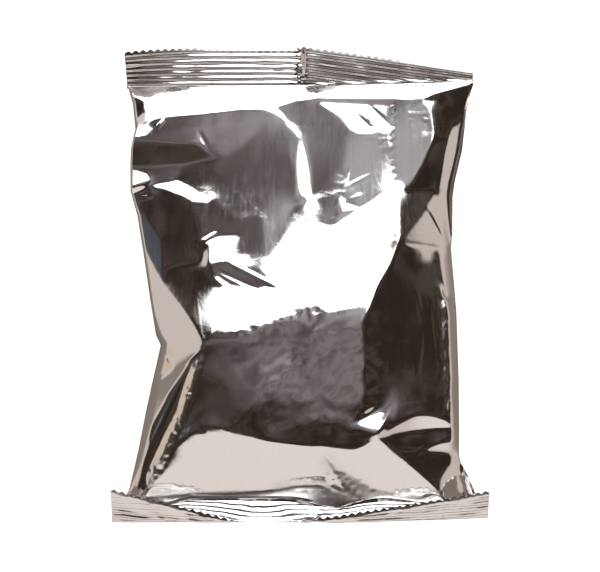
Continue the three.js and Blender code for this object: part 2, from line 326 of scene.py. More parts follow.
PANELS: tuple[Panel, ...] = (
    Panel("left edge", 35, -90, Hold.LOOSE, (
        (-64, 6), (-54, 2), (-48, -24), (-47, -43), (-55, -78), (-67, -78))),
    Panel("right edge", 35, 81, Hold.SLACK, (
        (69, 73), (63, 74), (55, 48), (53, 10), (53, -43), (49, -78), (71, -78))),
    Panel("shoulder", 32.5, 0, Hold.FIRM, (
        (-64, 75), (66, 75), (64, 74), (51, 71), (44, 68), (37, 67), (20, 68), (7, 67), (0, 67), (-9, 64),
        (-14, 63), (-22, 63), (-36, 60), (-44, 59), (-54, 58), (-59, 55))),
    Panel("top left corner", 17, -98, Hold.CRISP, (
        (-68, 71), (-64, 69.5), (-56, 67), (-57.5, 62), (-59.5, 58), (-62, 54.5), (-67, 55)), 0.6),
    Panel("upper left", 8, -10, Hold.FIRM, (
        (-64, 53.5), (-61, 55.5), (-54, 59.5), (-44, 61), (-36, 61.5), (-22, 63.5), (-14, 63.5), (-14, 60),
        (-22, 57), (-36, 56), (-47, 54), (-64, 52.5)), 0.8),
    Panel("light band", 6, 10, Hold.FIRM, (
        (-64, 52.5), (-47, 54), (-36, 56), (-22, 57), (-14, 60), (-15, 55), (-20, 50), (-27, 46), (-33, 45),
        (-34, 48), (-38, 50), (-45, 50), (-64, 51)), 1.0),
    Panel("hollow band", 12, 180, Hold.CRISP, (
        (-66, 52), (-58, 51.5), (-45, 50), (-38, 50), (-34, 47), (-33, 44), (-43, 42), (-54, 41),
        (-66, 43)), 0.8),
    Panel("upper panel", 8, -15, Hold.FIRM, (
        (-14, 62), (-5, 59), (0, 52), (-1, 39), (-1, 28), (-4, 23), (-6, 15), (-9, 10), (-11, 6), (-12, 2),
        (-9, -3), (-18, 1), (-19, 5), (-18, 10), (-22, 16), (-27, 23), (-31, 29), (-36, 31), (-45, 37),
        (-54, 41), (-43, 42), (-33, 44), (-27, 46), (-20, 50), (-15, 55)), 2.0),
    Panel("foot of the upper panel", 9.8, 6, Hold.FIRM, (
        (-1, 36), (-1, 28), (-4, 23), (-6, 15), (-9, 10), (-11, 6), (-12, 2), (-15, 8), (-15, 15), (-14, 24),
        (-10, 34)), 2.0),
    Panel("left white spot", 18, -10, Hold.CRISP, ((-64, 43.5), (-56, 39), (-55, 36), (-64, 32)), 0.8),
    Panel("dark strip", 8, 170, Hold.FIRM, (
        (-56, 41), (-43, 41), (-45, 37), (-47, 36), (-54, 35), (-55, 38)), 1.0),
    Panel("left panel", 13, -62, Hold.FIRM, (
        (-66, 31), (-54, 33), (-49, 33), (-45, 31), (-38, 28), (-35, 17), (-37, 12), (-34, 5), (-30, 2),
        (-49, 2), (-50, 14), (-66, 24))),
    Panel("foot of the left panel", 24, -48, Hold.FIRM, (
        (-34, 6), (-28, -3), (-26, -11), (-29, -17), (-32, -24), (-37, -17), (-42, -10), (-49, -2),
        (-49, 4))),
    Panel("leaf", 16.5, 8, Hold.CRISP, (
        (-55, 35), (-47, 36), (-45, 37), (-36, 31), (-32, 28), (-38, 29), (-45, 31.5), (-49, 33.5),
        (-54, 33.5)), 0.4),
    Panel("grey patch", 8, -26, Hold.CRISP, (
        (-38, 28), (-32, 28), (-31, 29), (-27, 23), (-22, 16), (-30, 14), (-35, 17))),
    Panel("between patches", 8, -10, Hold.CRISP, (
        (-22, 16), (-23, 21), (-14, 22), (-13, 15), (-14, 8), (-14, 3), (-11, -2), (-18, 1), (-21, 3),
        (-24, 6)), 1.0),
    Panel("bright patch", 15.5, -5, Hold.CRISP, ((-31, 15), (-22, 16), (-25, 6), (-33, 5), (-31, 11)), 0.6),
    Panel("small bright patch", 15.5, 3, Hold.CRISP, ((-19, 10), (-18, 5), (-21, 3), (-23, 6)), 0.6),
    Panel("blade", 7, 10, Hold.CRISP, (
        (-32, 4), (-27, 6), (-24, 6), (-21, 3), (-9, -3), (-13, -4), (-21, -3), (-27, -1)), 0.6),
    Panel("rise", 15, -2, Hold.CRISP, (
        (6, 11), (9, 12), (14, 21), (22, 26), (34, 34), (35, 13), (32, 5), (27, -3), (24, -12), (21, -17),
        (10, -15), (3, -11), (-3, -14), (-10, -17), (-17, -20), (-26, -11), (-28, -3), (-21, -3), (-13, -4),
        (-9, -3), (-12, 2), (-11, 6), (-9, 10), (-6, 15), (-4, 23), (-1, 28), (5, 28)), 2.0),
    Panel("foot of the step", 15, -8, Hold.CRISP, (
        (0, 28), (5, 28), (6, 11), (8, 11), (6, 0), (-9, -3), (-12, 2), (-9, 10), (-4, 20)), 2.0),
    Panel("rise beside the cord", 15.5, 6, Hold.CRISP, (
        (35, 15), (34, 22), (26, 18), (20, 0), (16, -12), (21, -16), (24, -12), (27, -3), (32, 5)), 3.0),
    Panel("top of the rise", 14.4, 0, Hold.CRISP, (
        (4, 12), (6, 24), (9, 19), (14, 21), (22, 26), (34, 34), (35, 13), (30, 10)), 3.0),
    Panel("left rise", 18, -8, Hold.CRISP, (
        (-28, -3), (-18, -4), (-12, -4), (-12, -16), (-21, -21), (-32, -24), (-29, -17), (-26, -11)), 2.0),
    Panel("top of the step", 16, 14, Hold.CRISP, (
        (-14, 63), (-5, 59), (0, 52), (1, 53), (-4, 59), (-9, 64)), 0.8),
    Panel("step", 16.5, 48, Hold.CRISP, ((0, 52), (-1, 39), (-1, 28), (5, 28), (3, 43), (1, 53)), 0.8),
    Panel("tongue", 7.8, -5, Hold.FIRM, (
        (-9, 64), (-2, 67.3), (6, 67.3), (9, 64), (15, 59), (18, 51), (16, 41), (15.5, 32), (12.5, 24),
        (8, 18), (5, 28), (3, 43), (1, 53), (-4, 59))),
    Panel("top of the tongue", 6, -5, Hold.CRISP, (
        (-8, 63.5), (-2, 67.3), (6, 67.3), (9, 64), (14, 59.5), (8, 58), (-4, 58.5)), 0.6),
    Panel("tip of the tongue", 7.2, -2, Hold.CRISP, (
        (5, 29), (6, 23), (7.5, 17.5), (9.5, 20), (12.5, 24), (14, 30)), 0.8),
    Panel("upper middle", 12.5, 3, Hold.FIRM, (
        (7, 67), (20, 68), (37, 67), (36, 56), (34, 54), (27, 53), (22, 52), (18, 54), (15, 59)), 3.0),
    Panel("middle", 7, 20, Hold.FIRM, (
        (17, 54), (22, 52), (27, 53), (34, 54), (35, 34), (21, 27), (15, 31), (16, 41)), 3.0),
    Panel("upper right", 6, 2, Hold.CRISP, (
        (36, 66), (44, 67), (48, 63), (49, 55), (45, 43), (40, 34), (35, 32), (34, 54)), 3.0),
    Panel("dark crinkle", 4, 60, Hold.CRISP, (
        (39, 66), (46, 67), (49, 62), (48, 56), (42, 54), (39, 58)), 2.0),
    Panel("far upper right", 20, 74, Hold.FIRM, (
        (44, 68), (51, 71), (64, 74), (61, 60), (57, 52), (48.5, 52), (49, 55), (48, 63))),
    Panel("right of the upper right", 20.5, 96, Hold.FIRM, (
        (57, 52), (53, 46), (51, 36), (49, 32), (35, 32), (40, 34), (45, 43), (48.5, 52))),
    Panel("beside the cord", 24, 57, Hold.CRISP, ((35, 33), (50, 33), (48, 30), (46, 26), (35, 13)), 1.5),
    Panel("upper right side", 34, 85, Hold.STEADY, (
        (56, 58), (61, 61), (59, 48), (57, 37), (56, 33), (55, 11), (53, 13), (46, 27), (51, 36),
        (53, 48)), 0.8),
    Panel("right dent", 30, 80, Hold.CRISP, ((35, 13), (46, 26), (53, 13), (52, 12), (46, 8)), 0.8),
    Panel("top of the right panel", 18, 64, Hold.FIRM, (
        (35, 13), (46, 8), (52, 12), (54, 6), (50, -4), (52, -11), (24, -12), (27, -3), (32, 5))),
    Panel("under the dent", 30, 76, Hold.CRISP, ((50, 10), (57, 12), (58, -3), (52, -5)), 1.0),
    Panel("right panel", 18, 68, Hold.FIRM, (
        (52, -11), (50, -18), (53, -24), (54, -34), (53, -43), (55, -50), (53, -52), (51, -50), (46, -48),
        (40, -48), (33, -52), (28, -56), (30, -47), (27, -46), (20, -45), (21, -40), (22, -30), (21, -17),
        (24, -12))),
    Panel("belly", 1.5, 0, Hold.FIRM, (
        (-30, -24), (-17, -20), (-10, -17), (-3, -14), (3, -11), (10, -14), (17, -13), (21, -11), (22, -30),
        (21, -51), (12, -53), (0, -52), (-12, -48), (-26, -43), (-34, -39)), 5.0),
    Panel("left belly", 6, -80, Hold.FIRM, ((-32, -24), (-14, -20), (-14, -44), (-40, -44)), 12.0),
    Panel("far left belly", 9, -92, Hold.FIRM, ((-33, -24), (-26, -23), (-25, -44), (-40, -44)), 8.0),
    Panel("lower belly", 9, 185, Hold.FIRM, (
        (-38, -38), (-26, -42), (-12, -47), (0, -51), (12, -52), (20, -50), (28, -56), (25, -59), (20, -61),
        (10, -60), (0, -59), (-13, -57), (-21, -55), (-30, -52), (-38, -55), (-42, -59)), 5.0),
    Panel("lower left belly", 12, -128, Hold.FIRM, (
        (-36, -33), (-16, -40), (-16, -56), (-30, -52), (-38, -55), (-42, -59), (-50, -71)), 6.0),
    Panel("left side", 35, -89, Hold.FIRM, (
        (-57, 22), (-50, 14), (-49, -2), (-42, -10), (-37, -17), (-33, -24), (-44, -32), (-51, -23),
        (-53, -18), (-54, -7), (-57, 10)), 1.0),
    Panel("blue facet", 22, -80, Hold.CRISP, ((-59, 27), (-50, 15), (-49, -2), (-54, 7), (-58, 15)), 0.8),
    Panel("olive facet", 25.5, -110, Hold.CRISP, ((-50, -23), (-44, -32), (-53, -37), (-52, -29)), 0.8),
    Panel("lower left side", 36.5, -84, Hold.STEADY, (
        (-53, -37), (-44, -32), (-33, -24), (-37, -27), (-46, -40), (-53, -54), (-57, -64), (-60, -74),
        (-62, -76), (-57, -60)), 1.0),
    Panel("lower left fold", 18, -116, Hold.CRISP, (
        (-33, -24), (-37, -28), (-46, -41), (-53, -53), (-57, -66), (-61, -75), (-52, -75), (-49, -68),
        (-44, -58), (-38, -43), (-36, -34)), 0.8),
    Panel("left slope", 31, 187, Hold.FIRM, (
        (-60, -80), (-52, -74), (-48, -68), (-43, -59), (-38, -55), (-33, -53), (-30, -52), (-21, -55),
        (-13, -57), (-13, -84), (-60, -84)), 3.0),
    Panel("slope", 40, 178, Hold.FIRM, (
        (-13, -57), (0, -59), (10, -60), (20, -61), (25, -59), (28, -57), (50.5, -78), (52, -84),
        (-13, -84)), 2.0),
    Panel("right slope", 28, 175, Hold.FIRM, (
        (20, -61), (25, -59), (28, -57), (50.5, -78), (52, -84), (20, -84)), 3.0),
    Panel("ledge", 18, 0, Hold.CRISP, (
        (-54, -76.5), (-35, -76.5), (-18, -75.7), (-8, -74.5), (-4, -74), (-4, -84), (-54, -84)), 0.8),
    Panel("crumpled foot", 20, 0, Hold.CRISP, (
        (-4, -73.5), (0, -73), (10, -72.5), (17, -73), (22, -76), (34, -78.5), (34, -84), (-4, -84))),
    Panel("lower right corner", 22, 112, Hold.FIRM, (
        (28, -56), (41, -57), (44, -61), (56, -62), (53, -66), (50, -71), (51, -77), (50, -75), (35, -63))),
    Panel("above the crescent", 16, 75, Hold.CRISP, (
        (32, -51), (34, -46), (42, -43), (52, -45), (51, -49), (46, -47.5), (40, -47.5)), 1.0),
    Panel("crescent", 33, 155, Hold.CRISP, (
        (28, -56), (33, -52), (40, -48), (46, -48), (51, -50), (54, -53), (47, -53), (40, -54),
        (33, -55)), 0.6),
    Panel("under the crescent", 12, 80, Hold.FIRM, (
        (28, -56), (33, -55), (40, -54), (53, -53), (54, -55), (46, -58), (41, -61), (35, -60)), 0.8),
    Panel("wedge", 34, 150, Hold.CRISP, ((42, -61), (49, -58), (56, -57), (56, -62), (49, -61)), 0.6),
    Panel("small corner facet", 24, 105, Hold.FIRM, ((44, -61), (56, -62), (51, -67), (48, -64)), 0.6),
    Panel("low bright patch", 22, 3, Hold.CRISP, (
        (18, -52), (24, -48), (27, -46), (30, -47), (28, -54), (26, -55), (22, -53)), 0.6),
    Panel("lobe", 34, 130, Hold.STEADY, (
        (56, -62), (59, -63), (61, -69), (60, -74), (55, -77), (51, -77), (49, -71), (53, -66)), 0.8),
    Panel("grey facet", 21, 165, Hold.CRISP, (
        (7, -61), (16, -68), (23, -73), (36, -75.5), (49, -77.5), (40, -82), (12, -82), (10, -72)), 1.0),
    Panel("fold under the top seal", 6, 0, Hold.FIRM, (
        (14, 71.8), (24, 70.4), (34, 69.6), (44, 70.6), (49, 69.2), (45, 71.6), (34, 70.9), (25, 71.8)), 0.3),
    Panel("groove under the top seal", 5, 180, Hold.CRISP, (
        (2, 66.6), (22, 65.9), (44, 66.0), (50, 67.8), (60, 73.0), (49, 69.2), (43, 67.2), (30, 67.5),
        (22, 67.1), (6, 68.0)), 0.3),
)


@dataclass(frozen=True)
class Crease:
    """A sharp ridge or groove in the film, tapering to both ends.

    Args:
        start: one end, in mm.
        end: the other end, in mm.
        width: how far its sides spread, in mm.
        height: how far it stands up, or sinks if below 0, in mm.
    """

    start: Point
    end: Point
    width: float
    height: float

    def at(self, x: Array, y: Array) -> Array:
        """A tent across the line, times a half sine along it.

        Args:
            x: places across the pack, in mm.
            y: places up the pack, in mm.

        Returns:
            Height to add, in mm.
        """
        dx, dy = self.end[0] - self.start[0], self.end[1] - self.start[1]
        length = math.hypot(dx, dy)
        along = ((x - self.start[0]) * dx + (y - self.start[1]) * dy) / length ** 2
        across = ((x - self.start[0]) * dy - (y - self.start[1]) * dx) / length
        tent = np.clip(1.0 - np.abs(across) / self.width, 0.0, 1.0)
        return self.height * tent * np.sin(np.pi * np.clip(along, 0.0, 1.0))


@dataclass(frozen=True)
class Crumple:
    """A patch of crumpled film: short sharp ridges in every direction.

    Args:
        start: one end of the patch's middle line, in mm.
        end: the other end, in mm.
        reach: how far the crumpling spreads from that line, in mm.
        size: distance between ridges, in mm.
        height: height of the ridges, in mm.
        seed: which set of ridges.
        haze: how much the fine crumpling blurs the film's reflections.
    """

    start: Point
    end: Point
    reach: float
    size: float
    height: float
    seed: int
    haze: float = 0.0
    fine_share: ClassVar[float] = 0.4

    def share(self, x: Array, y: Array) -> Array:
        """How much of the crumpling each place has: a bell curve of its distance to the middle line.

        Args:
            x: places across the pack, in mm.
            y: places up the pack, in mm.

        Returns:
            The share of each place, from 0 to 1.
        """
        dx, dy = self.end[0] - self.start[0], self.end[1] - self.start[1]
        along = np.clip(((x - self.start[0]) * dx + (y - self.start[1]) * dy) / (dx * dx + dy * dy), 0.0, 1.0)
        away = np.hypot(x - self.start[0] - along * dx, y - self.start[1] - along * dy)
        return np.exp(-(away / self.reach) ** 2)

    def at(self, x: Array, y: Array) -> Array:
        """Lumps folded at their zero line into sharp ridges, and finer ones half their size on top.

        Args:
            x: places across the pack, in mm.
            y: places up the pack, in mm.

        Returns:
            Height to add, in mm.
        """
        sharp = 0.5 - np.abs(Lumps((self.size, self.size), self.seed).at(x, y))
        fine = 0.5 - np.abs(Lumps((self.size / 2.0, self.size / 2.0), self.seed + 1).at(x, y))
        return self.height * (sharp + self.fine_share * fine) * self.share(x, y)


CRUMPLES: tuple[Crumple, ...] = (
    Crumple((-7.0, -74.5), (17.0, -76.5), 4.0, 2.4, 0.6, 31, 0.8),
    Crumple((9.0, -65.0), (22.0, -75.0), 3.5, 2.2, 0.3, 33, 0.7),
    Crumple((16.0, -75.0), (40.0, -79.0), 2.0, 2.4, 0.3, 35, 0.6),
    Crumple((-60.0, 71.0), (-50.0, 71.5), 1.6, 2.2, 0.9, 37, 0.3),
    Crumple((8.0, 71.5), (52.0, 72.0), 1.6, 3.0, 0.18, 39, 0.2),
    Crumple((42.0, 63.0), (47.0, 59.0), 4.0, 2.6, 0.12, 41, 0.15),
    Crumple((14.0, 36.0), (18.0, 30.0), 3.0, 3.2, 0.09, 43, 0.15),
    Crumple((-50.0, -76.8), (-10.0, -75.6), 1.6, 2.6, 0.3, 55, 0.6),
    Crumple((51.0, -8.0), (52.0, -46.0), 2.0, 3.0, 0.22, 45, 0.2),
    Crumple((-35.0, -30.0), (-42.0, -50.0), 1.4, 2.0, 0.35, 47, 0.4),
    Crumple((-42.0, -50.0), (-53.0, -72.0), 1.6, 2.0, 0.4, 48, 0.4),
    Crumple((-40.0, -53.0), (-22.0, -54.0), 2.0, 3.0, 0.22, 49, 0.2),
    Crumple((-20.0, -19.0), (8.0, -12.0), 2.5, 3.2, 0.2, 51, 0.1),
    Crumple((26.0, 59.0), (31.0, 50.0), 3.0, 3.5, 0.14, 53, 0.1),
)

CREASES: tuple[Crease, ...] = (
    Crease((7.0, -61.0), (19.0, -79.0), 1.0, 0.5),
    Crease((-4.0, -70.0), (17.0, -69.0), 0.8, 0.35),
    Crease((6.0, -71.5), (22.0, -78.0), 0.8, 0.45),
    Crease((17.0, -69.0), (8.0, -73.0), 0.7, 0.3),
    Crease((-52.0, 55.5), (-49.0, 59.0), 0.8, 0.25),
    Crease((-37.0, 55.0), (-32.5, 46.5), 1.0, -0.25),
    Crease((-60.0, 30.5), (-53.0, 30.5), 0.9, 0.3),
    Crease((-36.5, 12.5), (-29.0, 17.0), 0.9, 0.25),
    Crease((-27.0, 6.5), (-8.0, -3.5), 0.8, 0.3),
    Crease((-31.0, 3.5), (-13.0, -5.0), 0.8, -0.2),
    Crease((-44.0, -32.0), (-53.0, -37.0), 0.8, 0.25),
    Crease((-44.0, -32.0), (-51.0, -22.0), 0.7, -0.2),
    Crease((-33.0, -25.0), (-44.0, -33.0), 0.7, 0.3),
    Crease((-38.0, -29.0), (-60.0, -74.0), 1.2, 0.16),
    Crease((-34.5, -27.0), (-43.5, -55.0), 2.4, 0.7),
    Crease((-41.0, -47.0), (-54.5, -75.0), 2.4, 0.7),
    Crease((46.0, 26.0), (53.0, 13.0), 1.0, -0.12),
    Crease((36.0, 13.0), (52.0, 12.0), 1.0, -0.15),
    Crease((13.0, 26.0), (18.5, 42.0), 0.9, 0.12),
    Crease((14.5, 32.5), (26.0, 39.0), 0.9, 0.09),
    Crease((15.0, 28.0), (22.5, 31.0), 0.9, 0.11),
    Crease((20.0, 71.8), (36.0, 73.5), 1.2, -0.6),
    Crease((34.0, 73.8), (52.0, 73.0), 1.2, -0.6),
    Crease((-50.0, -76.6), (-8.0, -75.4), 0.6, 0.16),
    Crease((-40.0, -77.6), (0.0, -76.4), 0.6, -0.16),
    Crease((20.0, 62.0), (27.0, 55.0), 1.0, -0.15),
    Crease((24.0, 66.0), (33.0, 57.0), 1.0, -0.15),
    Crease((41.0, -2.0), (44.5, -22.0), 1.2, 0.06),
    Crease((43.5, -16.0), (41.0, -38.0), 1.2, -0.06),
    Crease((47.0, -6.0), (49.0, -30.0), 1.0, 0.07),
)


# ---- Meshes -----------------------------------------------------------------------------

@dataclass
class Skin:
    """The points and faces of one piece, in mm, before it becomes a mesh.

    Args:
        name: the piece's name.
        points: one row of x, y and z for each point.
        quads: one row of four point numbers for each face.
        extra: faces with more corners.
        haze: how much fine crumpling blurs the reflections at each point.
    """

    name: str
    points: Array
    quads: Array
    extra: list[list[int]] = field(default_factory=list)
    haze: Array | None = None
    sharp_from: ClassVar[float] = 75.0

    def to_object(self, shift: Array, material: bpy.types.Material) -> bpy.types.Object:
        """Make the mesh, in metres, with smooth faces that break at the sheet's edges.

        Args:
            shift: how far to move the points first, in mm.
            material: the finish of the whole piece.

        Returns:
            The new object, at the origin and unturned.
        """
        mesh = bpy.data.meshes.new(self.name)
        mesh.from_pydata(((self.points + shift) * MM).tolist(), [], self.quads.tolist() + self.extra)
        mesh.polygons.foreach_set("use_smooth", np.ones(len(mesh.polygons), dtype=bool))
        mesh.set_sharp_from_angle(angle=math.radians(self.sharp_from))
        mesh.materials.append(material)
        haze = mesh.attributes.new("haze", "FLOAT", "POINT")
        haze.data.foreach_set("value", np.zeros(len(self.points)) if self.haze is None else self.haze)
        mesh.update()
        piece = bpy.data.objects.new(self.name, mesh)
        bpy.context.scene.collection.objects.link(piece)
        return piece


def ring_quads(rows: int, around: int) -> Array:
    """Faces between rings of points: each joins a point to the next one round and the two above.

    Args:
        rows: how many rings.
        around: how many points in each ring.

    Returns:
        One row of four point numbers for each face.
    """
    r, k = np.meshgrid(np.arange(rows - 1), np.arange(around), indexing="ij")
    after = (k + 1) % around
    faces = np.stack([r * around + k, r * around + after, (r + 1) * around + after, (r + 1) * around + k])
    return faces.reshape(4, -1).T


# ---- Body -------------------------------------------------------------------------------

@dataclass
class FilmBody:
    """The filled part of the pack: front film, back film and the rounded sides between them.

    Args:
        rows: how many steps the grid has from seal to seal.
        front_columns: how many steps the front film has across.
        back_columns: how many steps the back film has across.
        stages: grid steps and rounds of each settling, from coarse to fine.
        softening: how often the settled film is averaged.
        half_thickness: from the middle of the film's edge to its front and to its back, in mm.
        crowding: how far points crowd towards the side edges, at most, as a share of the width.
        crowding_onset: how fast the crowding sets in from each seal.
        relief_onset: how fast creases and lumps set in from each seal.
        side_radius: rounding of the side edges where soft and where tight, in mm.
        left_tightens: from where to where the left edge's rounding grows tight, up the pack.
        right_tightens: the same for the right edge.
        belly: the coffee's middle across and its spread, in mm.
        belly_foot: from where to where the coffee's lumps set in, up the pack.
        belly_head: the same from the top end down, with y counted below 0.
        coffee: heights and shapes of the lumps that the coffee makes.
        slack: heights and shapes of the slack film's waves.
        cord: the rolled line's place across, half width, height and pitch, in mm, and its slant.
        cord_foot: from where to where the rolled line sets in, up the pack.
        cord_head: the same from its top end down, with y counted below 0.
        back_radius_side: how far in from a side edge the back rounds up, in mm.
        back_radius_top: how far it does so from the top seal, in mm.
        back_radius_bottom: how far it does so from the bottom seal, in mm.
        left_edge: y, x and height of the left edge's corners, in mm.
        right_edge: the same for the right edge.
    """

    rows: int = 300
    front_columns: int = 256
    back_columns: int = 64
    stages: tuple[tuple[int, int], ...] = ((4, 300), (2, 300), (1, 500))
    softening: int = 3
    half_thickness: float = 0.12
    crowding: float = 0.05
    crowding_onset: float = 8.0
    relief_onset: float = 12.0
    side_radius: tuple[float, float] = (4.0, 1.2)
    left_tightens: Span = (-28.0, -10.0)
    right_tightens: Span = (54.0, 62.0)
    belly: Point = (4.0, 26.0)
    belly_foot: Span = (-58.0, -50.0)
    belly_head: Span = (10.0, 20.0)
    coffee: tuple[tuple[float, Lumps], ...] = (
        (0.45, Lumps((13.0, 11.0), 2, 28.0)), (0.12, Lumps((5.0, 4.0), 3, 37.0)),
        (0.05, Lumps((2.2, 1.8), 4, 51.0)))
    slack: tuple[tuple[float, Lumps], ...] = ((0.10, Lumps((16.0, 20.0), 5)), (0.02, Lumps((4.0, 9.0), 6)))
    cord: tuple[float, float, float, float, float] = (34.2, 0.8, 0.04, 3.0, 0.9)
    cord_foot: Span = (12.0, 17.0)
    cord_head: Span = (-72.0, -68.0)
    back_radius_side: float = 16.0
    back_radius_top: float = 24.0
    back_radius_bottom: float = 18.0
    left_edge: tuple[tuple[float, float, float], ...] = (
        (-86, -66.5, 14), (-74, -60.5, 15), (-60, -57.4, 15), (-47, -55, 15), (-38, -53.2, 14.5),
        (-30, -51.5, 14), (-23, -50, 14), (-19.5, -51.8, 13.5), (-7, -54, 13), (11, -56.8, 13),
        (24, -59, 13.5), (33, -61.6, 13.5), (43.2, -61.8, 13.5), (48.5, -61.6, 13.5), (56, -60.2, 12.5),
        (66, -61.5, 10.5), (74, -64, 8.5),
    )
    right_edge: tuple[tuple[float, float, float], ...] = (
        (-86, 66.5, 14), (-71, 60.3, 16), (-65, 57.1, 16), (-62.4, 56.3, 17), (-53.6, 56.5, 17),
        (-36, 56.6, 16.5), (-11, 56.2, 15), (3.7, 55.4, 12.5), (12.6, 54.9, 11), (16.7, 55.4, 11),
        (31.5, 55.7, 11), (37.2, 56.6, 11), (48.5, 59.4, 10.5), (64.4, 61.5, 9.5), (69.6, 62.8, 8.5),
        (74, 64.2, 8),
    )

    def plan(self, rows: int, columns: int) -> dict[str, Array]:
        """Lay out the grid seen from above, from the bottom root to the top root.

        A row is a straight line between the side edges, and its points crowd a little towards
        them with a sine. The roots keep the full width of the flat film.

        Args:
            rows: how many steps up.
            columns: how many steps across.

        Returns:
            x and y of each point, its u and v from 0 to 1, and the side edges' places and heights.
        """
        v, u = np.meshgrid(np.arange(rows + 1) / rows, np.arange(columns + 1) / columns, indexing="ij")
        onset = np.minimum(1.0, self.crowding_onset * v * (1.0 - v))
        across = u - self.crowding * onset * np.sin(2.0 * np.pi * u)
        flat_x = lerp(-SIZES.bottom_half_width, SIZES.bottom_half_width, u)
        y = lerp(SIZES.bottom_root_y(flat_x), SIZES.top_root(flat_x), v)
        left, right = np.array(self.left_edge), np.array(self.right_edge)
        left_x, left_z = np.interp(y, left[:, 0], left[:, 1]), np.interp(y, left[:, 0], left[:, 2])
        right_x, right_z = np.interp(y, right[:, 0], right[:, 1]), np.interp(y, right[:, 0], right[:, 2])
        x = lerp(left_x, right_x, across)
        for row, half in ((0, SIZES.bottom_half_width), (-1, SIZES.top_half_width)):
            x[row] = lerp(-half, half, across[row])
        return {"x": x, "y": y, "u": u, "v": v, "left_x": left_x, "left_z": left_z,
                "right_x": right_x, "right_z": right_z}

    def seam(self, plan: dict[str, Array]) -> Array:
        """Height of the sheet that roots and side edges hold up, where front and back would meet.

        A point's height is the side edges' height blended across, plus the roots' height blended
        up, less the four corners' height blended both ways.

        Args:
            plan: the grid from above.

        Returns:
            The height of each point, in mm.
        """
        u, v = plan["u"], plan["v"]
        bottom, top = SIZES.roots(2.0 * u - 1.0)
        left = lerp(SIZES.bottom_root_height[1], SIZES.top_root_height[1], v)
        right = lerp(SIZES.bottom_root_height[2], SIZES.top_root_height[2], v)
        sides = lerp(plan["left_z"], plan["right_z"], u)
        return sides + lerp(bottom, top, v) - lerp(left, right, u)

    @staticmethod
    def wanted_slopes(x: Array, y: Array) -> tuple[Array, Array, Array]:
        """Lay each panel over those before it.

        Args:
            x: places across, in mm.
            y: places up, in mm.

        Returns:
            Rise per mm across, rise per mm up, and the hold, at each place.
        """
        across, up = np.zeros_like(x), np.zeros_like(x)
        hold = np.full_like(x, Hold.LOOSE.value)
        for panel in PANELS:
            share = panel.cover(x, y)
            panel_across, panel_up = panel.slope()
            across = lerp(across, panel_across, share)
            up = lerp(up, panel_up, share)
            hold = lerp(hold, panel.hold.value, share)
        return across, up, hold

    def settle(self, plan: dict[str, Array], height: Array, steps: int) -> Array:
        """Settle the heights between the two roots with the method of conjugate gradients.

        Every link between neighbouring points asks for the rise of the panel it lies in. The
        heights that leave the least sum of squared misses, each weighted by its hold, balance the
        links' pulls on every point; each step moves all the points along the next best direction.

        Args:
            plan: the grid from above.
            height: where the film starts, in mm; its first and last rows stay.
            steps: how many steps to take.

        Returns:
            The settled heights, in mm.
        """
        wanted = np.stack([plan["x"], plan["y"], *self.wanted_slopes(plan["x"], plan["y"])])

        def links(start: Array, end: Array) -> tuple[Array, Array]:
            """The rise that each link asks for, and how hard it pulls."""
            (dx, dy), (across, up, hold) = (end - start)[:2], ((start + end) / 2.0)[2:]
            return across * dx + up * dy, hold / (dx * dx + dy * dy)

        rise_x, pull_x = links(wanted[:, :, :-1], wanted[:, :, 1:])
        rise_y, pull_y = links(wanted[:, :-1], wanted[:, 1:])
        moving = np.ones_like(height)
        moving[[0, -1]] = 0.0

        def gathered(along_x: Array, along_y: Array) -> Array:
            """What the links' pulls add up to at each point that may move."""
            total = np.zeros_like(height)
            total[:, 1:] += along_x
            total[:, :-1] -= along_x
            total[1:] += along_y
            total[:-1] -= along_y
            return total * moving

        stiffness = np.ones_like(height)
        for pull, low, high in ((pull_x, np.s_[:, :-1], np.s_[:, 1:]), (pull_y, np.s_[:-1], np.s_[1:])):
            stiffness[low] += pull
            stiffness[high] += pull
        miss = gathered(pull_x * (rise_x - np.diff(height, axis=1)),
                        pull_y * (rise_y - np.diff(height, axis=0)))
        way = miss / stiffness
        size = np.sum(miss * way)
        for _ in range(steps):
            pulled = gathered(pull_x * np.diff(way, axis=1), pull_y * np.diff(way, axis=0))
            stride = size / np.sum(way * pulled)
            height = height + stride * way
            miss = miss - stride * pulled
            eased = miss / stiffness
            size, last = np.sum(miss * eased), size
            way = eased + (size / last) * way
        return height

    def settled_film(self) -> tuple[dict[str, Array], Array]:
        """Settle the film on a coarse grid first, and on finer ones from there.

        Returns:
            The finest plan, and the film's heights on it.
        """
        height: Array | None = None
        for step, steps in self.stages:
            rows, columns = self.rows // step, self.front_columns // step
            plan = self.plan(rows, columns)
            bottom, top = SIZES.roots(2.0 * plan["u"] - 1.0)
            ruled = lerp(bottom, top, plan["v"])
            height = ruled if height is None else resized(height, rows, columns)
            height[0], height[-1] = ruled[0], ruled[-1]
            height = self.settle(plan, height, steps)
        return plan, height

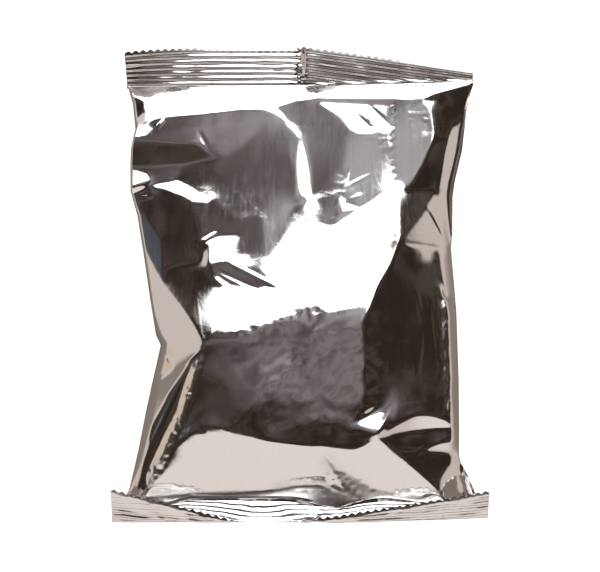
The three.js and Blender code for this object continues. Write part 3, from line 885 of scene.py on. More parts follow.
    def relief(self, x: Array, y: Array) -> Array:
        """Small shapes on top of the panels: creases, coffee under the belly, the rolled cord line.

        The cord is a slanting sine under a bell curve across. The belly's share is a flat bell.

        Args:
            x: places across, in mm.
            y: places up, in mm.

        Returns:
            Height to add, in mm.
        """
        total = np.zeros_like(x)
        for detail in (*CREASES, *CRUMPLES):
            total += detail.at(x, y)
        middle, spread = self.belly
        belly = np.exp(-((x - middle) / spread) ** 4)
        belly = belly * smoothstep(y, *self.belly_foot) * smoothstep(-y, *self.belly_head)
        total += belly * sum(height * lumps.at(x, y) for height, lumps in self.coffee)
        total += sum(height * lumps.at(x, y) for height, lumps in self.slack)
        place, width, height, pitch, slant = self.cord
        cord = np.exp(-((x - place) / width) ** 2)
        cord = cord * smoothstep(y, *self.cord_foot) * smoothstep(-y, *self.cord_head)
        total += cord * height * np.sin(2.0 * np.pi * (y - slant * x) / pitch)
        return total

    def front(self) -> tuple[dict[str, Array], Array]:
        """The front film: settled panels, softened creases, relief, and rolled-over side edges.

        Returns:
            The plan, and the front's heights in mm.
        """
        plan, film = self.settled_film()
        film = soften(film, self.softening)
        fade = np.minimum(1.0, self.relief_onset * plan["v"] * (1.0 - plan["v"]))
        film = film + fade * self.relief(plan["x"], plan["y"])
        bottom, top = SIZES.roots(2.0 * plan["u"] - 1.0)
        film[0], film[-1] = bottom[0], top[-1]
        soft, tight = self.side_radius
        left = lerp(soft, tight, smoothstep(plan["y"], *self.left_tightens))
        right = lerp(soft, tight, smoothstep(plan["y"], *self.right_tightens))
        front = lerp(plan["left_z"], film, rounding(plan["x"] - plan["left_x"], left))
        front = lerp(plan["right_z"], front, rounding(plan["right_x"] - plan["x"], right))
        return plan, front + self.half_thickness

    def back(self) -> tuple[Array, Array, Array]:
        """The back film: flat on the table, and rounding up to the seals and the side edges.

        Its height is the seam's height times what three quarter circles leave of it.

        Returns:
            x, y and height of each point, in mm.
        """
        plan = self.plan(self.rows, self.back_columns)
        x, y = plan["x"], plan["y"]
        side = np.minimum(x - plan["left_x"], plan["right_x"] - x)
        flatness = (rounding(side, self.back_radius_side)
                    * rounding(SIZES.top_root(x) - y, self.back_radius_top)
                    * rounding(y - SIZES.bottom_root_y(x), self.back_radius_bottom))
        return x, y, (self.seam(plan) - self.half_thickness) * (1.0 - flatness)

    def skin(self) -> Skin:
        """One closed skin: each row is a ring along the front and back again along the back.

        Returns:
            The skin, with the haze of its crumpled patches.
        """
        plan, front = self.front()
        back_x, back_y, back_z = self.back()
        front_points = np.stack([plan["x"], plan["y"], front], axis=-1)
        back_points = np.stack([back_x, back_y, back_z], axis=-1)[:, ::-1]
        rings = np.concatenate([front_points, back_points], axis=1)
        haze = np.zeros(rings.shape[:2])
        for crumple in CRUMPLES:
            near = crumple.haze * crumple.share(plan["x"], plan["y"])
            haze[:, :near.shape[1]] = np.maximum(haze[:, :near.shape[1]], near)
        rows, around = rings.shape[:2]
        first = list(range(around))
        last = [(rows - 1) * around + k for k in range(around)]
        quads = ring_quads(rows, around)
        return Skin("film_body", rings.reshape(-1, 3), quads, [first[::-1], last], haze.ravel())


# ---- Seals ------------------------------------------------------------------------------

@dataclass(frozen=True)
class Bend:
    """How a seal turns up from flat: the angle in degrees, and where it starts and its radius in mm."""

    angle: Array
    start: Array
    radius: Array


@dataclass(frozen=True)
class SealShapes:
    """How the seals turn up, and how their ridges lie and fade.

    Args:
        top_lean: the top seal's angle in its middle, in degrees.
        top_curl: how much more it turns up at its left end.
        top_right: how much more it turns up right of its crossing.
        top_step: from where to where across that angle sets in, in mm.
        top_radius: radius of the top seal's bend, in mm.
        fold_angle: how far the bottom seal folds back, in degrees.
        fold_radius: radius of its fold, in mm.
        top_crisp_right: share of the ridges' height right of the top seal's crossing.
        top_crisp_step: from where to where across that share sets in, in mm.
        bottom_crisp_folded: share of the ridges' height past the fold.
        fan: the ridges' slant where the bottom seal comes out and at its fold, as a share of the
            height that is folded over.
        folded_slant: the same past the fold.
        fold_blend: how near to the fold the slant changes, in mm.
    """

    top_lean: float = 7.0
    top_curl: float = 38.0
    top_right: float = 15.0
    top_step: Span = (0.4, 2.4)
    top_radius: float = 2.5
    fold_angle: float = 152.0
    fold_radius: float = 0.4
    top_crisp_right: float = 0.72
    top_crisp_step: Span = (0.0, 5.0)
    bottom_crisp_folded: float = 0.85
    fan: Span = (1.15, 2.0)
    folded_slant: float = 0.7
    fold_blend: float = 0.2

    def top_bend(self, x: Array) -> Bend:
        """The top seal is nearly flat, and curls up at its left end with the square of x."""
        u = x / SIZES.top_half_width
        more = np.where(u < 0, self.top_curl * u * u, self.top_right * smoothstep(x, *self.top_step))
        return Bend(self.top_lean + more, np.zeros_like(x), np.full_like(x, self.top_radius))

    def bottom_bend(self, x: Array) -> Bend:
        """The bottom seal folds back over itself, and springs open a little."""
        start = SIZES.fold_start(x) - SIZES.bottom_tuck(x)
        return Bend(np.full_like(x, self.fold_angle), start, np.full_like(x, self.fold_radius))

    def top_crispness(self, x: Array, s: Array) -> Array:
        """The top seal's ridges are flatter right of its crossing."""
        return lerp(1.0, self.top_crisp_right, smoothstep(x, *self.top_crisp_step)) * np.ones_like(s)

    def bottom_crispness(self, x: Array, s: Array) -> Array:
        """The bottom seal's ridges are pressed flat where it is folded back."""
        return lerp(1.0, self.bottom_crisp_folded, smoothstep(s - SIZES.fold_start(x), 0.0, 1.0))

    @staticmethod
    def top_slant(x: Array, s: Array) -> Array:
        """The top seal's ridges run along its root."""
        return np.zeros_like(s)

    def bottom_slant(self, x: Array, s: Array) -> Array:
        """The bottom seal's ridges fan out towards its fold, and are straighter past it.

        The slant is the height that is folded over, times a share that grows in a straight line
        from the seal's foot and changes at the fold.

        Args:
            x: places across, in mm.
            s: distance out from the root, in mm.

        Returns:
            How far the ridges lie in towards the root, in mm.
        """
        folded = SIZES.seal_height - SIZES.fold_start(x)
        climb = np.clip((s - SIZES.bottom_tuck(x)) / SIZES.overhang_height, 0.0, 1.0)
        past = smoothstep(s - SIZES.fold_start(x), -self.fold_blend, self.fold_blend)
        return lerp(lerp(*self.fan, climb), self.folded_slant, past) * folded


@dataclass
class CrimpedSeal:
    """A crimped seal: a thin sheet with ridges across it and teeth along its edge.

    Args:
        name: which seal.
        outward: 1 where it runs towards +Y from its root, -1 towards -Y.
        half_width: half the width of the flat film, in mm.
        root_y: where the root lies at each x.
        root_heights: height of the root at its middle, left and right, in mm.
        bend: how the seal turns up at each x.
        hidden: how much of the seal's foot is out of sight at each x.
        crispness: share of the ridges' full height at each x and distance out.
        slant: how far the ridges lie in towards the root at each x and distance out, in mm.
        seed: which set of small faults.
        cells_per_tooth: how many steps the sheet has across each tooth.
        rows: how many steps it has from its root to its teeth.
        tuck: how far the sheet starts inside the film body, in mm.
        half_thickness: half the thickness of the sheet, in mm.
        ridge_pitch: distance between ridges, in mm.
        ridge_height: how far they stand off the sheet's middle, in mm.
        ridge_count: how many ridges there are.
        first_ridge: where the first one starts, from the root, in mm.
        gentle: share of a ridge's pitch over which it falls.
        wander: how far the ridges stray, in mm.
        crossing_at: where across a mark crosses the seal, in mm.
        crossing_reach: how far the mark spreads, in mm.
        crossing_fault: how high the mark's faults are, in mm.
        crossing_size: how far apart they are, in mm.
        edge_curl: how far the seal bends to its back, for each mm past the ridges.
        lift: how far the seal rises before its bend, in degrees.
        band_ends: how the ridges fade in before and after the first one starts, and out, in mm.
        unevenness: how much the ridges' height varies.
        flattened: share of the ridges' height that the mark takes away.
        edge_blend: how near to the teeth the rows start to follow them, in mm.
        walk_step: the even step of the walk out from the root, in mm.
    """

    name: str
    outward: float
    half_width: float
    root_y: Callable[[Array], Array]
    root_heights: tuple[float, float, float]
    bend: Callable[[Array], Bend]
    hidden: Callable[[Array], Array]
    crispness: Callable[[Array, Array], Array]
    slant: Callable[[Array, Array], Array]
    seed: int
    cells_per_tooth: int = 8
    rows: int = 76
    tuck: float = 1.0
    half_thickness: float = 0.15
    ridge_pitch: float = 2.0
    ridge_height: float = 0.28
    ridge_count: int = 6
    first_ridge: float = 0.5
    gentle: float = 0.5
    wander: float = 0.1
    crossing_at: float = 0.3
    crossing_reach: float = 2.6
    crossing_fault: float = 0.12
    crossing_size: float = 1.0
    edge_curl: float = 0.0
    lift: float = 0.0
    band_ends: tuple[float, float, float] = (0.2, 0.3, 0.4)
    unevenness: float = 0.35
    flattened: float = 0.6
    edge_blend: float = 1.5
    walk_step: float = 0.05

    def ridges(self, x: Array, s: Array) -> Array:
        """Height of the crimp: a wave along s inside the crimped band, with small faults.

        Each ridge falls along half a cosine over its gentle share and climbs along another.

        Args:
            x: places across, in mm.
            s: distance out from the root, in mm.

        Returns:
            Height off the sheet's middle, in mm.
        """
        drift = Lumps((9.0, 3.0), self.seed).at(x, s) + 0.5 * Lumps((2.0, 2.0), self.seed + 1).at(x, s)
        phase = (s + self.slant(x, s) - self.first_ridge + self.wander * drift) / self.ridge_pitch
        turn = phase % 1.0
        falling = np.cos(np.pi * np.clip(turn / self.gentle, 0.0, 1.0))
        rising = np.cos(np.pi * np.clip((1.0 - turn) / (1.0 - self.gentle), 0.0, 1.0))
        wave = np.where(turn < self.gentle, falling, rising)
        end = self.first_ridge + self.ridge_count * self.ridge_pitch
        before, after, out = self.band_ends
        band = smoothstep(s, self.first_ridge - before, self.first_ridge + after)
        band = band * (1.0 - smoothstep(s, end - out, end))
        uneven = 1.0 + self.unevenness * Lumps((6.0, 2.5), self.seed + 2).at(x, s)
        strength = uneven * self.crispness(x, s)
        crossing = np.exp(-((x - self.crossing_at) / self.crossing_reach) ** 4)
        disturbed = self.crossing_fault * Lumps((self.crossing_size,) * 2, self.seed + 3).at(x, s)
        curl = self.edge_curl * np.maximum(0.0, s - end)
        ridge = self.ridge_height * band * wave * strength * (1.0 - self.flattened * crossing)
        return ridge + crossing * disturbed - curl

    def sheet(self) -> tuple[Array, Array, Array]:
        """Walk out from the root in even steps, turning up through the bend.

        The angle at distance s is the bend's full angle times how much of its arc lies before s.

        Returns:
            Points of the middle surface, its normals, and the distance s of each point.
        """
        columns = SIZES.teeth * self.cells_per_tooth
        u = np.arange(columns + 1) / columns
        x = lerp(-self.half_width, self.half_width, u)
        tooth = np.abs(((u * SIZES.teeth) % 1.0) - 0.5) * 2.0
        reach = SIZES.seal_height - SIZES.tooth_height * tooth
        t = np.arange(self.rows + 1)[:, None] / self.rows
        foot, valley, step = self.hidden(x), SIZES.valley_reach, self.walk_step
        s = lerp(foot - self.tuck, valley, t)
        s = s + smoothstep(s, valley - self.edge_blend, valley) * (reach - valley)
        bend = self.bend(x)
        full = np.radians(bend.angle)
        fine = np.arange(0.0, SIZES.seal_height + step, step)[:, None]
        lift = math.radians(self.lift)
        turned = lift + (full - lift) * np.clip((fine - bend.start) / (bend.radius * full), 0.0, 1.0)
        step_y = np.cumsum(np.cos(turned) * step, axis=0)
        step_z = np.cumsum(np.sin(turned) * step, axis=0)
        place = np.clip(s - foot, 0.0, None) / step
        low = np.minimum(place.astype(int), len(fine) - 2)
        part = place - low
        column = np.broadcast_to(np.arange(columns + 1), s.shape)
        out = lerp(step_y[low, column], step_y[low + 1, column], part) + np.minimum(s - foot, 0.0)
        up = lerp(step_z[low, column], step_z[low + 1, column], part)
        angle = lerp(turned[low, column], turned[low + 1, column], part)
        ends = x / self.half_width
        points = np.stack([
            np.broadcast_to(x, s.shape),
            self.root_y(x) + self.outward * out,
            SIZES.root_height(self.root_heights, ends) + up,
        ], axis=-1)
        normals = np.stack([np.zeros_like(s), -self.outward * np.sin(angle), np.cos(angle)], axis=-1)
        return points, normals, s

    def skin(self) -> Skin:
        """A closed sheet: each row is a ring along the front and back again along the back.

        Returns:
            The skin, with faces that point outwards.
        """
        points, normals, s = self.sheet()
        ridge = self.ridges(points[..., 0], s)[..., None]
        front = points + normals * (ridge + self.half_thickness)
        back = points + normals * (ridge - self.half_thickness)
        rings = np.concatenate([front, back[:, ::-1]], axis=1)
        if self.outward < 0:
            rings = rings[::-1]
        rows, around = rings.shape[:2]
        columns = around // 2
        k = np.arange(columns - 1)
        near = np.stack([k + 1, k, around - 1 - k, around - 2 - k], axis=-1)
        far = (rows - 1) * around + near[:, ::-1]
        quads = np.concatenate([ring_quads(rows, around), near, far])
        return Skin(self.name, rings.reshape(-1, 3), quads)


def seals() -> list[CrimpedSeal]:
    """The two seals of the pack.

    Returns:
        The top seal and the bottom seal.
    """
    shapes = SealShapes()
    top = CrimpedSeal(
        "top_seal", 1.0, SIZES.top_half_width, SIZES.top_root, SIZES.top_root_height,
        shapes.top_bend, SIZES.top_tuck, shapes.top_crispness, shapes.top_slant, 11,
        gentle=0.66, edge_curl=0.5, crossing_fault=0.3, crossing_size=1.1, crossing_reach=2.8)
    bottom = CrimpedSeal(
        "bottom_seal", -1.0, SIZES.bottom_half_width, SIZES.bottom_root_y, SIZES.bottom_root_height,
        shapes.bottom_bend, SIZES.bottom_tuck, shapes.bottom_crispness, shapes.bottom_slant, 21,
        gentle=0.22, edge_curl=-0.2, crossing_fault=0.25, crossing_size=3.0, crossing_reach=12.0,
        crossing_at=7.0, wander=0.3, ridge_height=0.10, lift=17.0)
    return [top, bottom]


# ---- Finishes ---------------------------------------------------------------------------

class NodeSheet:
    """A helper that lays out shader nodes."""

    def __init__(self, tree: bpy.types.NodeTree) -> None:
        """Work on a node tree."""
        self.tree = tree

    def add(self, kind: str, inputs: dict[str | int, object] | None = None,
            **settings: object) -> bpy.types.Node:
        """Add a node, set its properties, and set or link its inputs.

        Args:
            kind: the node's type.
            inputs: values, or sockets to link, by input name or number.
            settings: properties of the node.

        Returns:
            The new node.
        """
        node = self.tree.nodes.new(kind)
        for key, value in settings.items():
            setattr(node, key, value)
        for key, value in (inputs or {}).items():
            if isinstance(value, bpy.types.NodeSocket):
                self.tree.links.new(value, node.inputs[key])
            else:
                node.inputs[key].default_value = value
        return node

    def math(self, operation: str, a: object, b: object = 0.0) -> bpy.types.NodeSocket:
        """Add a Math node and give its output."""
        return self.add("ShaderNodeMath", {0: a, 1: b}, operation=operation).outputs[0]

    def times(self, a: object, b: object) -> bpy.types.NodeSocket:
        """Multiply two values."""
        return self.math("MULTIPLY", a, b)

    def degrees(self, operation: str, a: object, b: object = 0.0) -> bpy.types.NodeSocket:
        """Work out an angle and give it in degrees."""
        return self.times(self.math(operation, a, b), 180.0 / math.pi)

    def noise(self, place: object, scale: float, detail: float, roughness: float = 0.5,
              distortion: float = 0.0) -> bpy.types.NodeSocket:
        """Add a noise texture.

        Args:
            place: where each point is.
            scale: how fine the noise is.
            detail: how many finer layers it has.
            roughness: how strong each finer layer is.
            distortion: how far the noise is twisted.

        Returns:
            Its value, around 0.5.
        """
        node = self.add("ShaderNodeTexNoise", {
            "Vector": place, "Scale": scale, "Detail": detail,
            "Roughness": roughness, "Distortion": distortion,
        })
        return node.outputs[0]

    def ramp(self, value: object, low: float, high: float, to_low: float = 0.0,
             to_high: float = 1.0) -> bpy.types.NodeSocket:
        """Ease a value smoothly from one range to another.

        Args:
            value: the value.
            low: where it starts.
            high: where it ends.
            to_low: what it becomes where it starts, and before.
            to_high: what it becomes where it ends, and past it.

        Returns:
            The eased value.
        """
        node = self.add("ShaderNodeMapRange", {0: value, 1: low, 2: high, 3: to_low, 4: to_high},
                        interpolation_type="SMOOTHSTEP")
        return node.outputs[0]

    def mix(self, factor: object, a: object, b: object) -> bpy.types.NodeSocket:
        """Blend two colours, each a socket or three numbers, and give the result."""
        a, b = (end if isinstance(end, bpy.types.NodeSocket) else (*end, 1.0) for end in (a, b))
        return self.add("ShaderNodeMix", {0: factor, 6: a, 7: b}, data_type="RGBA").outputs[2]


def new_material(name: str) -> tuple[bpy.types.Material, NodeSheet]:
    """Make an empty material.

    Args:
        name: the material's name.

    Returns:
        The material, and the sheet to lay its nodes on.
    """
    material = bpy.data.materials.new(name)
    material.use_nodes = True
    material.node_tree.nodes.clear()
    return material, NodeSheet(material.node_tree)


@dataclass(frozen=True)
class FilmGrain:
    """The shared grain of rolled film: fine streaks along the pack, and soft crinkles.

    Args:
        lane_stretch: scale of the streaks' pattern along the pack, where across it is 1.
        streak_fineness: scale of the streaks' pattern, to a metre.
        crinkle_fineness: scale of the crinkles' pattern, to a metre.
        line_fineness: scale of the fine fold lines' pattern, to a metre.
        line_width: width of the fold lines, as a share of their pattern.
        streak_height: height of the streaks, in m.
        crinkle_height: height of the crinkles, in m.
        line_height: height of the fold lines, in m.
    """

    lane_stretch: float = 0.035
    streak_fineness: float = 900.0
    crinkle_fineness: float = 240.0
    line_fineness: float = 150.0
    line_width: float = 0.06
    streak_height: float = 0.000008
    crinkle_height: float = 0.00002
    line_height: float = 0.000002

    def group(self) -> bpy.types.NodeTree:
        """Build the grain as a node group.

        Returns:
            A group that gives a height in metres and a streak mask from 0 to 1.
        """
        group = bpy.data.node_groups.new("film_grain", "ShaderNodeTree")
        for name in ("Streak", "Crinkle"):
            socket = group.interface.new_socket(name, in_out="INPUT", socket_type="NodeSocketFloat")
            socket.default_value = 1.0
        for name in ("Height", "Mask"):
            group.interface.new_socket(name, in_out="OUTPUT", socket_type="NodeSocketFloat")
        sheet = NodeSheet(group)
        inputs = sheet.add("NodeGroupInput")
        place = sheet.add("ShaderNodeTexCoord").outputs["Object"]
        scale = (1.0, self.lane_stretch, 1.0)
        lanes = sheet.add("ShaderNodeMapping", {"Vector": place, "Scale": scale}).outputs[0]
        streak = sheet.noise(lanes, self.streak_fineness, detail=3.0, roughness=0.6)
        crinkle = sheet.noise(place, self.crinkle_fineness, detail=2.0, distortion=0.3)
        fold = sheet.add("ShaderNodeTexVoronoi", {"Vector": place, "Scale": self.line_fineness},
                         feature="DISTANCE_TO_EDGE")
        lines = sheet.ramp(fold.outputs["Distance"], 0.0, self.line_width, 1.0, 0.0)
        streaks = sheet.times(sheet.times(streak, inputs.outputs["Streak"]), self.streak_height)
        rough = sheet.math("ADD", sheet.times(crinkle, self.crinkle_height),
                           sheet.times(lines, self.line_height))
        crinkles = sheet.times(rough, inputs.outputs["Crinkle"])
        output = sheet.add("NodeGroupOutput")
        group.links.new(sheet.math("ADD", streaks, crinkles), output.inputs["Height"])
        group.links.new(streak, output.inputs["Mask"])
        return group


@dataclass(frozen=True)
class FilmFinish:
    """Polished metallised film.

    Args:
        name: the material's name.
        tint: colour of the metal.
        roughness: how blurred its reflections are at their sharpest.
        streak: strength of the rolled streaks.
        crinkle: strength of the soft crinkles.
        dulling: how bright the tint is where a streak is dullest.
        blur: how many times rougher the film is where a streak is roughest.
        mask_span: from where to where in the streak mask the roughness grows.
        haze_roughness: roughness that full haze adds.
    """

    name: str
    tint: Colour
    roughness: float
    streak: float
    crinkle: float
    dulling: float = 0.94
    blur: float = 1.9
    mask_span: Span = NOISE_SPAN
    haze_roughness: float = 0.4

    def build(self, grain: bpy.types.NodeTree) -> bpy.types.Material:
        """Make the material from the shared grain.

        Args:
            grain: the film grain group.

        Returns:
            The new material.
        """
        material, sheet = new_material(self.name)
        film = sheet.add("ShaderNodeGroup", node_tree=grain)
        film.inputs["Streak"].default_value = self.streak
        film.inputs["Crinkle"].default_value = self.crinkle
        mask = film.outputs["Mask"]
        bump = sheet.add("ShaderNodeBump", {"Height": film.outputs["Height"], "Strength": 1.0,
                                            "Distance": 1.0})
        colour = sheet.mix(mask, tuple(self.dulling * c for c in self.tint), self.tint)
        rough = sheet.ramp(mask, *self.mask_span, self.roughness, self.roughness * self.blur)
        haze = sheet.add("ShaderNodeAttribute", attribute_name="haze").outputs["Fac"]
        rough = sheet.math("ADD", rough, sheet.times(haze, self.haze_roughness))
        shader = sheet.add("ShaderNodeBsdfPrincipled", {
            "Base Color": colour, "Metallic": 1.0, "Roughness": rough, "Normal": bump.outputs[0],
        })
        sheet.add("ShaderNodeOutputMaterial", {"Surface": shader.outputs[0]})
        return material


# ---- Studio -----------------------------------------------------------------------------

@dataclass(frozen=True)
class Glow:
    """A round glow in the tent.

    Args:
        tilt: its centre's tilt from straight up, in degrees.
        bearing: its centre's compass bearing from +Y, in degrees.
        reach: how many degrees from its centre it ends.
        colour: its colour.
    """

    tilt: float
    bearing: float
    reach: float
    colour: Colour = (1.0, 1.0, 1.0)

    def share(self, sheet: NodeSheet, direction: bpy.types.NodeSocket) -> bpy.types.NodeSocket:
        """How much of the glow each direction has: 1 at its centre, easing to 0 where it ends.

        Args:
            sheet: where the nodes go.
            direction: the direction looked in.

        Returns:
            The share.
        """
        t, b = math.radians(self.tilt), math.radians(self.bearing)
        centre = (math.sin(t) * math.sin(b), math.sin(t) * math.cos(b), math.cos(t))
        near = sheet.add("ShaderNodeVectorMath", {0: direction, 1: centre}, operation="DOT_PRODUCT")
        return sheet.ramp(sheet.degrees("ARCCOSINE", near.outputs["Value"]), 0.0, self.reach, 1.0, 0.0)


@dataclass(frozen=True)
class Mottle:
    """Soft patches of two colours.

    Args:
        scale: how many patches to a unit.
        detail: how finely their edges are broken up.
        span: noise values between which the colours blend.
        first: colour of the low values.
        second: colour of the high values.
    """

    scale: float
    detail: float
    span: Span
    first: Colour
    second: Colour

    def paint(self, sheet: NodeSheet, direction: bpy.types.NodeSocket) -> bpy.types.NodeSocket:
        """The colour in each direction."""
        value = sheet.noise(direction, self.scale, self.detail)
        return sheet.mix(sheet.ramp(value, *self.span), self.first, self.second)


@dataclass
class Studio:
    """A light tent: a bright screen beyond the top seal, pale walls, and a dark opening overhead.

    Args:
        camera_distance: from the camera to its target, in m.
        camera_tilt: how far the camera stands from straight above, towards the bottom seal, in degrees.
        target: where the camera looks, in m.
        half_view: half of the width seen at the target, in m.
        sensor_width: width of the camera's sensor, in mm.
        floor_size: width of the floor, in m.
        floor_seen: the floor's colour where it is looked at.
        floor_shade_in_reflections: a darker painted shade of the floor, which only the film's reflections
            show.
        floor_light: how brightly the floor glows where it is looked at.
        floor_grain: scale and detail of the floor's grain.
        floor_roughness: from where to where the floor's roughness goes with its grain.
        lit_part: where the opening is lit.
        lit: what is seen there.
        dark: what is seen in the rest of the opening.
        glows: more patches in the opening, each laid over those before it.
        far_wall: colour of the wall beyond the top seal, and behind.
        left_wall: colour of the left wall.
        right_wall: colour of the right wall.
        gold: a gold patch on the left wall.
        wall_foot: colour of the walls where they meet the floor.
        side_span: how far from a side wall's middle it blends with the far wall, in degrees.
        behind_span: bearings, either way, from which a direction counts as behind.
        foot_span: tilts between which the walls take on the colour of their foot.
        foot_drop: how much further down those tilts lie behind.
        wall_span: tilts between which the opening ends and the walls start.
        right_drop: how much further down the right wall starts.
        behind_rise: how much further up the wall behind starts.
        screen_strength: brightness of the screen.
        screen_slant: how much nearer to overhead its near edge lies for each degree to the right.
        screen_near: tilts over which the screen's near edge fades in.
        screen_far: tilts over which its far edge fades out.
        screen_left: bearings over which its left edge fades in.
        screen_right: bearings over which its right edge fades out.
    """

    camera_distance: float = 0.520
    camera_tilt: float = 6.0
    target: tuple[float, float, float] = (0.0, -0.0025, 0.015)
    half_view: float = 0.108
    sensor_width: float = 36.0
    floor_size: float = 3.0
    floor_seen: Colour = (0.86, 0.855, 0.85)
    floor_shade_in_reflections: Colour = (0.40, 0.35, 0.31)
    floor_light: float = 0.85
    floor_grain: tuple[float, float] = (40.0, 4.0)
    floor_roughness: Span = (0.85, 0.95)
    lit_part: Glow = Glow(12.0, 15.0, 29.0)
    lit: Mottle = Mottle(4.0, 2.0, (0.35, 0.65), (0.28, 0.232, 0.238), (0.11, 0.10, 0.107))
    dark: Mottle = Mottle(9.0, 3.0, (0.45, 0.68), (0.026, 0.0175, 0.0135), (0.066, 0.051, 0.040))
    glows: tuple[Glow, ...] = (
        Glow(25.0, 22.0, 13.0, (0.42, 0.40, 0.41)),
        Glow(20.0, -80.0, 18.0, (0.115, 0.10, 0.10)),
        Glow(54.0, -82.0, 26.0, (0.085, 0.095, 0.115)),
    )
    far_wall: Colour = (0.80, 0.73, 0.69)
    left_wall: Colour = (0.62, 0.55, 0.51)
    right_wall: Colour = (0.58, 0.51, 0.46)
    gold: Glow = Glow(60.0, -93.0, 13.0, (0.64, 0.48, 0.31))
    wall_foot: Colour = (0.36, 0.30, 0.26)
    side_span: Span = (40.0, 60.0)
    behind_span: Span = (125.0, 145.0)
    foot_span: Span = (74.0, 90.0)
    foot_drop: float = 14.0
    wall_span: Span = (51.0, 58.0)
    right_drop: float = 6.0
    behind_rise: float = 9.0
    screen_strength: float = 2.4
    screen_slant: float = 0.08
    screen_near: Span = (31.5, 33.0)
    screen_far: Span = (84.0, 90.0)
    screen_left: Span = (-38.0, -30.0)
    screen_right: Span = (41.0, 46.0)

    def cap(self, sheet: NodeSheet, direction: bpy.types.NodeSocket) -> bpy.types.NodeSocket:
        """Lay the lit part and the glows over the dark of the opening overhead.

        Args:
            sheet: where the nodes go.
            direction: the direction looked in.

        Returns:
            The colour.
        """
        dark, lit = self.dark.paint(sheet, direction), self.lit.paint(sheet, direction)
        cap = sheet.mix(self.lit_part.share(sheet, direction), dark, lit)
        for glow in self.glows:
            cap = sheet.mix(glow.share(sheet, direction), cap, glow.colour)
        return cap

    def room(self, sheet: NodeSheet, direction: bpy.types.NodeSocket, tilt: bpy.types.NodeSocket,
             bearing: bpy.types.NodeSocket) -> bpy.types.NodeSocket:
        """Paint the walls from side to side and down to their foot, and end them at the opening.

        Args:
            sheet: where the nodes go.
            direction: the direction looked in.
            tilt: its tilt from straight up, in degrees.
            bearing: its compass bearing from +Y, in degrees.

        Returns:
            The colour.
        """
        left, right = (
            sheet.ramp(sheet.math("ABSOLUTE", sheet.math("SUBTRACT", bearing, middle)),
                       *self.side_span, 1.0, 0.0)
            for middle in (-90.0, 90.0)
        )
        wall = sheet.mix(left, self.far_wall, self.left_wall)
        wall = sheet.mix(right, wall, self.right_wall)
        wall = sheet.mix(self.gold.share(sheet, direction), wall, self.gold.colour)
        behind = sheet.ramp(sheet.math("ABSOLUTE", bearing), *self.behind_span)
        lowered = sheet.math("SUBTRACT", tilt, sheet.times(behind, self.foot_drop))
        wall = sheet.mix(sheet.ramp(lowered, *self.foot_span), wall, self.wall_foot)
        past = sheet.math("SUBTRACT", tilt, sheet.times(right, self.right_drop))
        past = sheet.math("ADD", past, sheet.times(behind, self.behind_rise))
        return sheet.mix(sheet.ramp(past, *self.wall_span), self.cap(sheet, direction), wall)

    def screen(self, sheet: NodeSheet, tilt: bpy.types.NodeSocket,
               bearing: bpy.types.NodeSocket) -> bpy.types.NodeSocket:
        """How much of the screen each direction has: four soft edges, multiplied.

        Args:
            sheet: where the nodes go.
            tilt: the direction's tilt from straight up, in degrees.
            bearing: its compass bearing from +Y, in degrees.

        Returns:
            The share.
        """
        edge = sheet.math("ADD", tilt, sheet.times(bearing, self.screen_slant))
        near = sheet.ramp(edge, *self.screen_near)
        far = sheet.ramp(tilt, *self.screen_far, 1.0, 0.0)
        left = sheet.ramp(bearing, *self.screen_left)
        right = sheet.ramp(bearing, *self.screen_right, 1.0, 0.0)
        return sheet.times(sheet.times(near, far), sheet.times(left, right))

    def world(self) -> None:
        """Paint the tent by the direction looked in, and show plain white to the camera."""
        world = bpy.data.worlds.new("light_tent")
        bpy.context.scene.world = world
        world.use_nodes = True
        sheet = NodeSheet(world.node_tree)
        sheet.tree.nodes.clear()
        direction = sheet.add("ShaderNodeTexCoord").outputs["Generated"]
        axes = sheet.add("ShaderNodeSeparateXYZ", {0: direction})
        tilt = sheet.degrees("ARCCOSINE", axes.outputs["Z"])
        bearing = sheet.degrees("ARCTAN2", axes.outputs["X"], axes.outputs["Y"])
        room = self.room(sheet, direction, tilt, bearing)
        tent = sheet.mix(self.screen(sheet, tilt, bearing), room, (self.screen_strength,) * 3)
        seen = sheet.add("ShaderNodeLightPath").outputs["Is Camera Ray"]
        colour = sheet.mix(seen, tent, WHITE)
        background = sheet.add("ShaderNodeBackground", {"Color": colour, "Strength": 1.0})
        sheet.add("ShaderNodeOutputWorld", {"Surface": background.outputs[0]})

    def floor_finish(self) -> bpy.types.Material:
        """A lit table: bright where it is looked at, and a darker beige painted shade in the film's
        reflections.

        Returns:
            The new material.
        """
        material, sheet = new_material("pale_floor")
        seen = sheet.add("ShaderNodeLightPath").outputs["Is Camera Ray"]
        # Painted shade: the floor is darker beige in the film's reflections than where it is looked at.
        colour = sheet.mix(seen, self.floor_shade_in_reflections, self.floor_seen)
        grain = sheet.noise(sheet.add("ShaderNodeTexCoord").outputs["Object"], *self.floor_grain)
        rough = sheet.ramp(grain, *NOISE_SPAN, *self.floor_roughness)
        shader = sheet.add("ShaderNodeBsdfPrincipled", {
            "Base Color": colour, "Roughness": rough, "Emission Color": (*WHITE, 1.0),
            "Emission Strength": sheet.times(seen, self.floor_light),
        })
        sheet.add("ShaderNodeOutputMaterial", {"Surface": shader.outputs[0]})
        return material

    def floor(self) -> bpy.types.Object:
        """A plain pale floor under the pack.

        Returns:
            The floor.
        """
        half = self.floor_size / 2.0
        mesh = bpy.data.meshes.new("floor")
        mesh.from_pydata([(-half, -half, 0.0), (half, -half, 0.0), (half, half, 0.0), (-half, half, 0.0)],
                         [], [(0, 1, 2, 3)])
        mesh.materials.append(self.floor_finish())
        floor = bpy.data.objects.new("floor", mesh)
        bpy.context.scene.collection.objects.link(floor)
        return floor

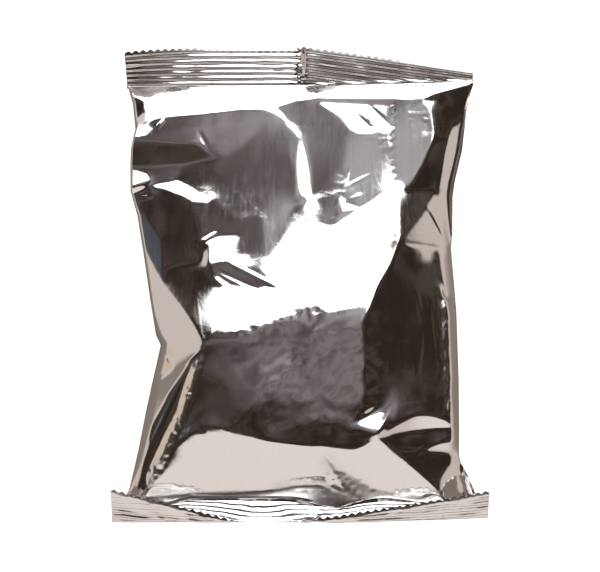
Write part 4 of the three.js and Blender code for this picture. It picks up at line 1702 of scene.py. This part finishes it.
    def camera(self) -> bpy.types.Object:
        """Look down on the pack, from a little below it, with the top seal at the top.

        Returns:
            The scene's camera.
        """
        data = bpy.data.cameras.new("camera")
        data.sensor_fit = "HORIZONTAL"
        data.sensor_width = self.sensor_width
        data.lens = self.sensor_width / 2.0 * self.camera_distance / self.half_view
        camera = bpy.data.objects.new("camera", data)
        tilt = math.radians(self.camera_tilt)
        away = Vector((0.0, -math.sin(tilt), math.cos(tilt)))
        camera.matrix_world = (Matrix.Translation(Vector(self.target) + away * self.camera_distance)
                               @ Matrix.Rotation(tilt, 4, "X"))
        bpy.context.scene.collection.objects.link(camera)
        bpy.context.scene.camera = camera
        return camera

    def build(self) -> None:
        """Set the tent, the floor, the camera and a plain view of their colours."""
        self.world()
        self.floor()
        self.camera()
        bpy.context.scene.view_settings.view_transform = "Standard"


# ---- Whole ------------------------------------------------------------------------------

def dress_pack() -> list[bpy.types.Object]:
    """Make the body and the seals, and stand them where the solid stands.

    The whole is slid so that the middle of its footprint is over the middle of the solid's,
    with its lowest point on the floor.

    Returns:
        The finished pieces.
    """
    grain = FilmGrain().group()
    body = FilmFinish("film_of_the_body", SILVER, roughness=0.06, streak=1.0, crinkle=1.0)
    crimped = FilmFinish("film_of_the_seals", SILVER, roughness=0.10, streak=0.6, crinkle=1.6)
    body_finish, seal_finish = body.build(grain), crimped.build(grain)
    skins = [(FilmBody().skin(), body_finish)] + [(seal.skin(), seal_finish) for seal in seals()]
    everything = np.concatenate([skin.points for skin, _ in skins])
    low, high = everything.min(axis=0), everything.max(axis=0)
    solid_low, solid_high = (np.array(corner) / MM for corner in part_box(NODE))
    shift = (solid_low + solid_high) / 2.0 - (low + high) / 2.0
    shift[2] = solid_low[2] - low[2]
    pieces = []
    for skin, finish in skins:
        piece = skin.to_object(shift, finish)
        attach(piece, "root")
        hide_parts(NODE)
        LOG.info("%s: %d points, %d faces", skin.name, len(skin.points), len(skin.quads))
        pieces.append(piece)
    return pieces


def main() -> None:
    """Load the frame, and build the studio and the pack."""
    logging.basicConfig(level=logging.INFO, format="%(name)s: %(message)s")
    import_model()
    Studio().build()
    dress_pack()


if __name__ == "__main__":
    main()
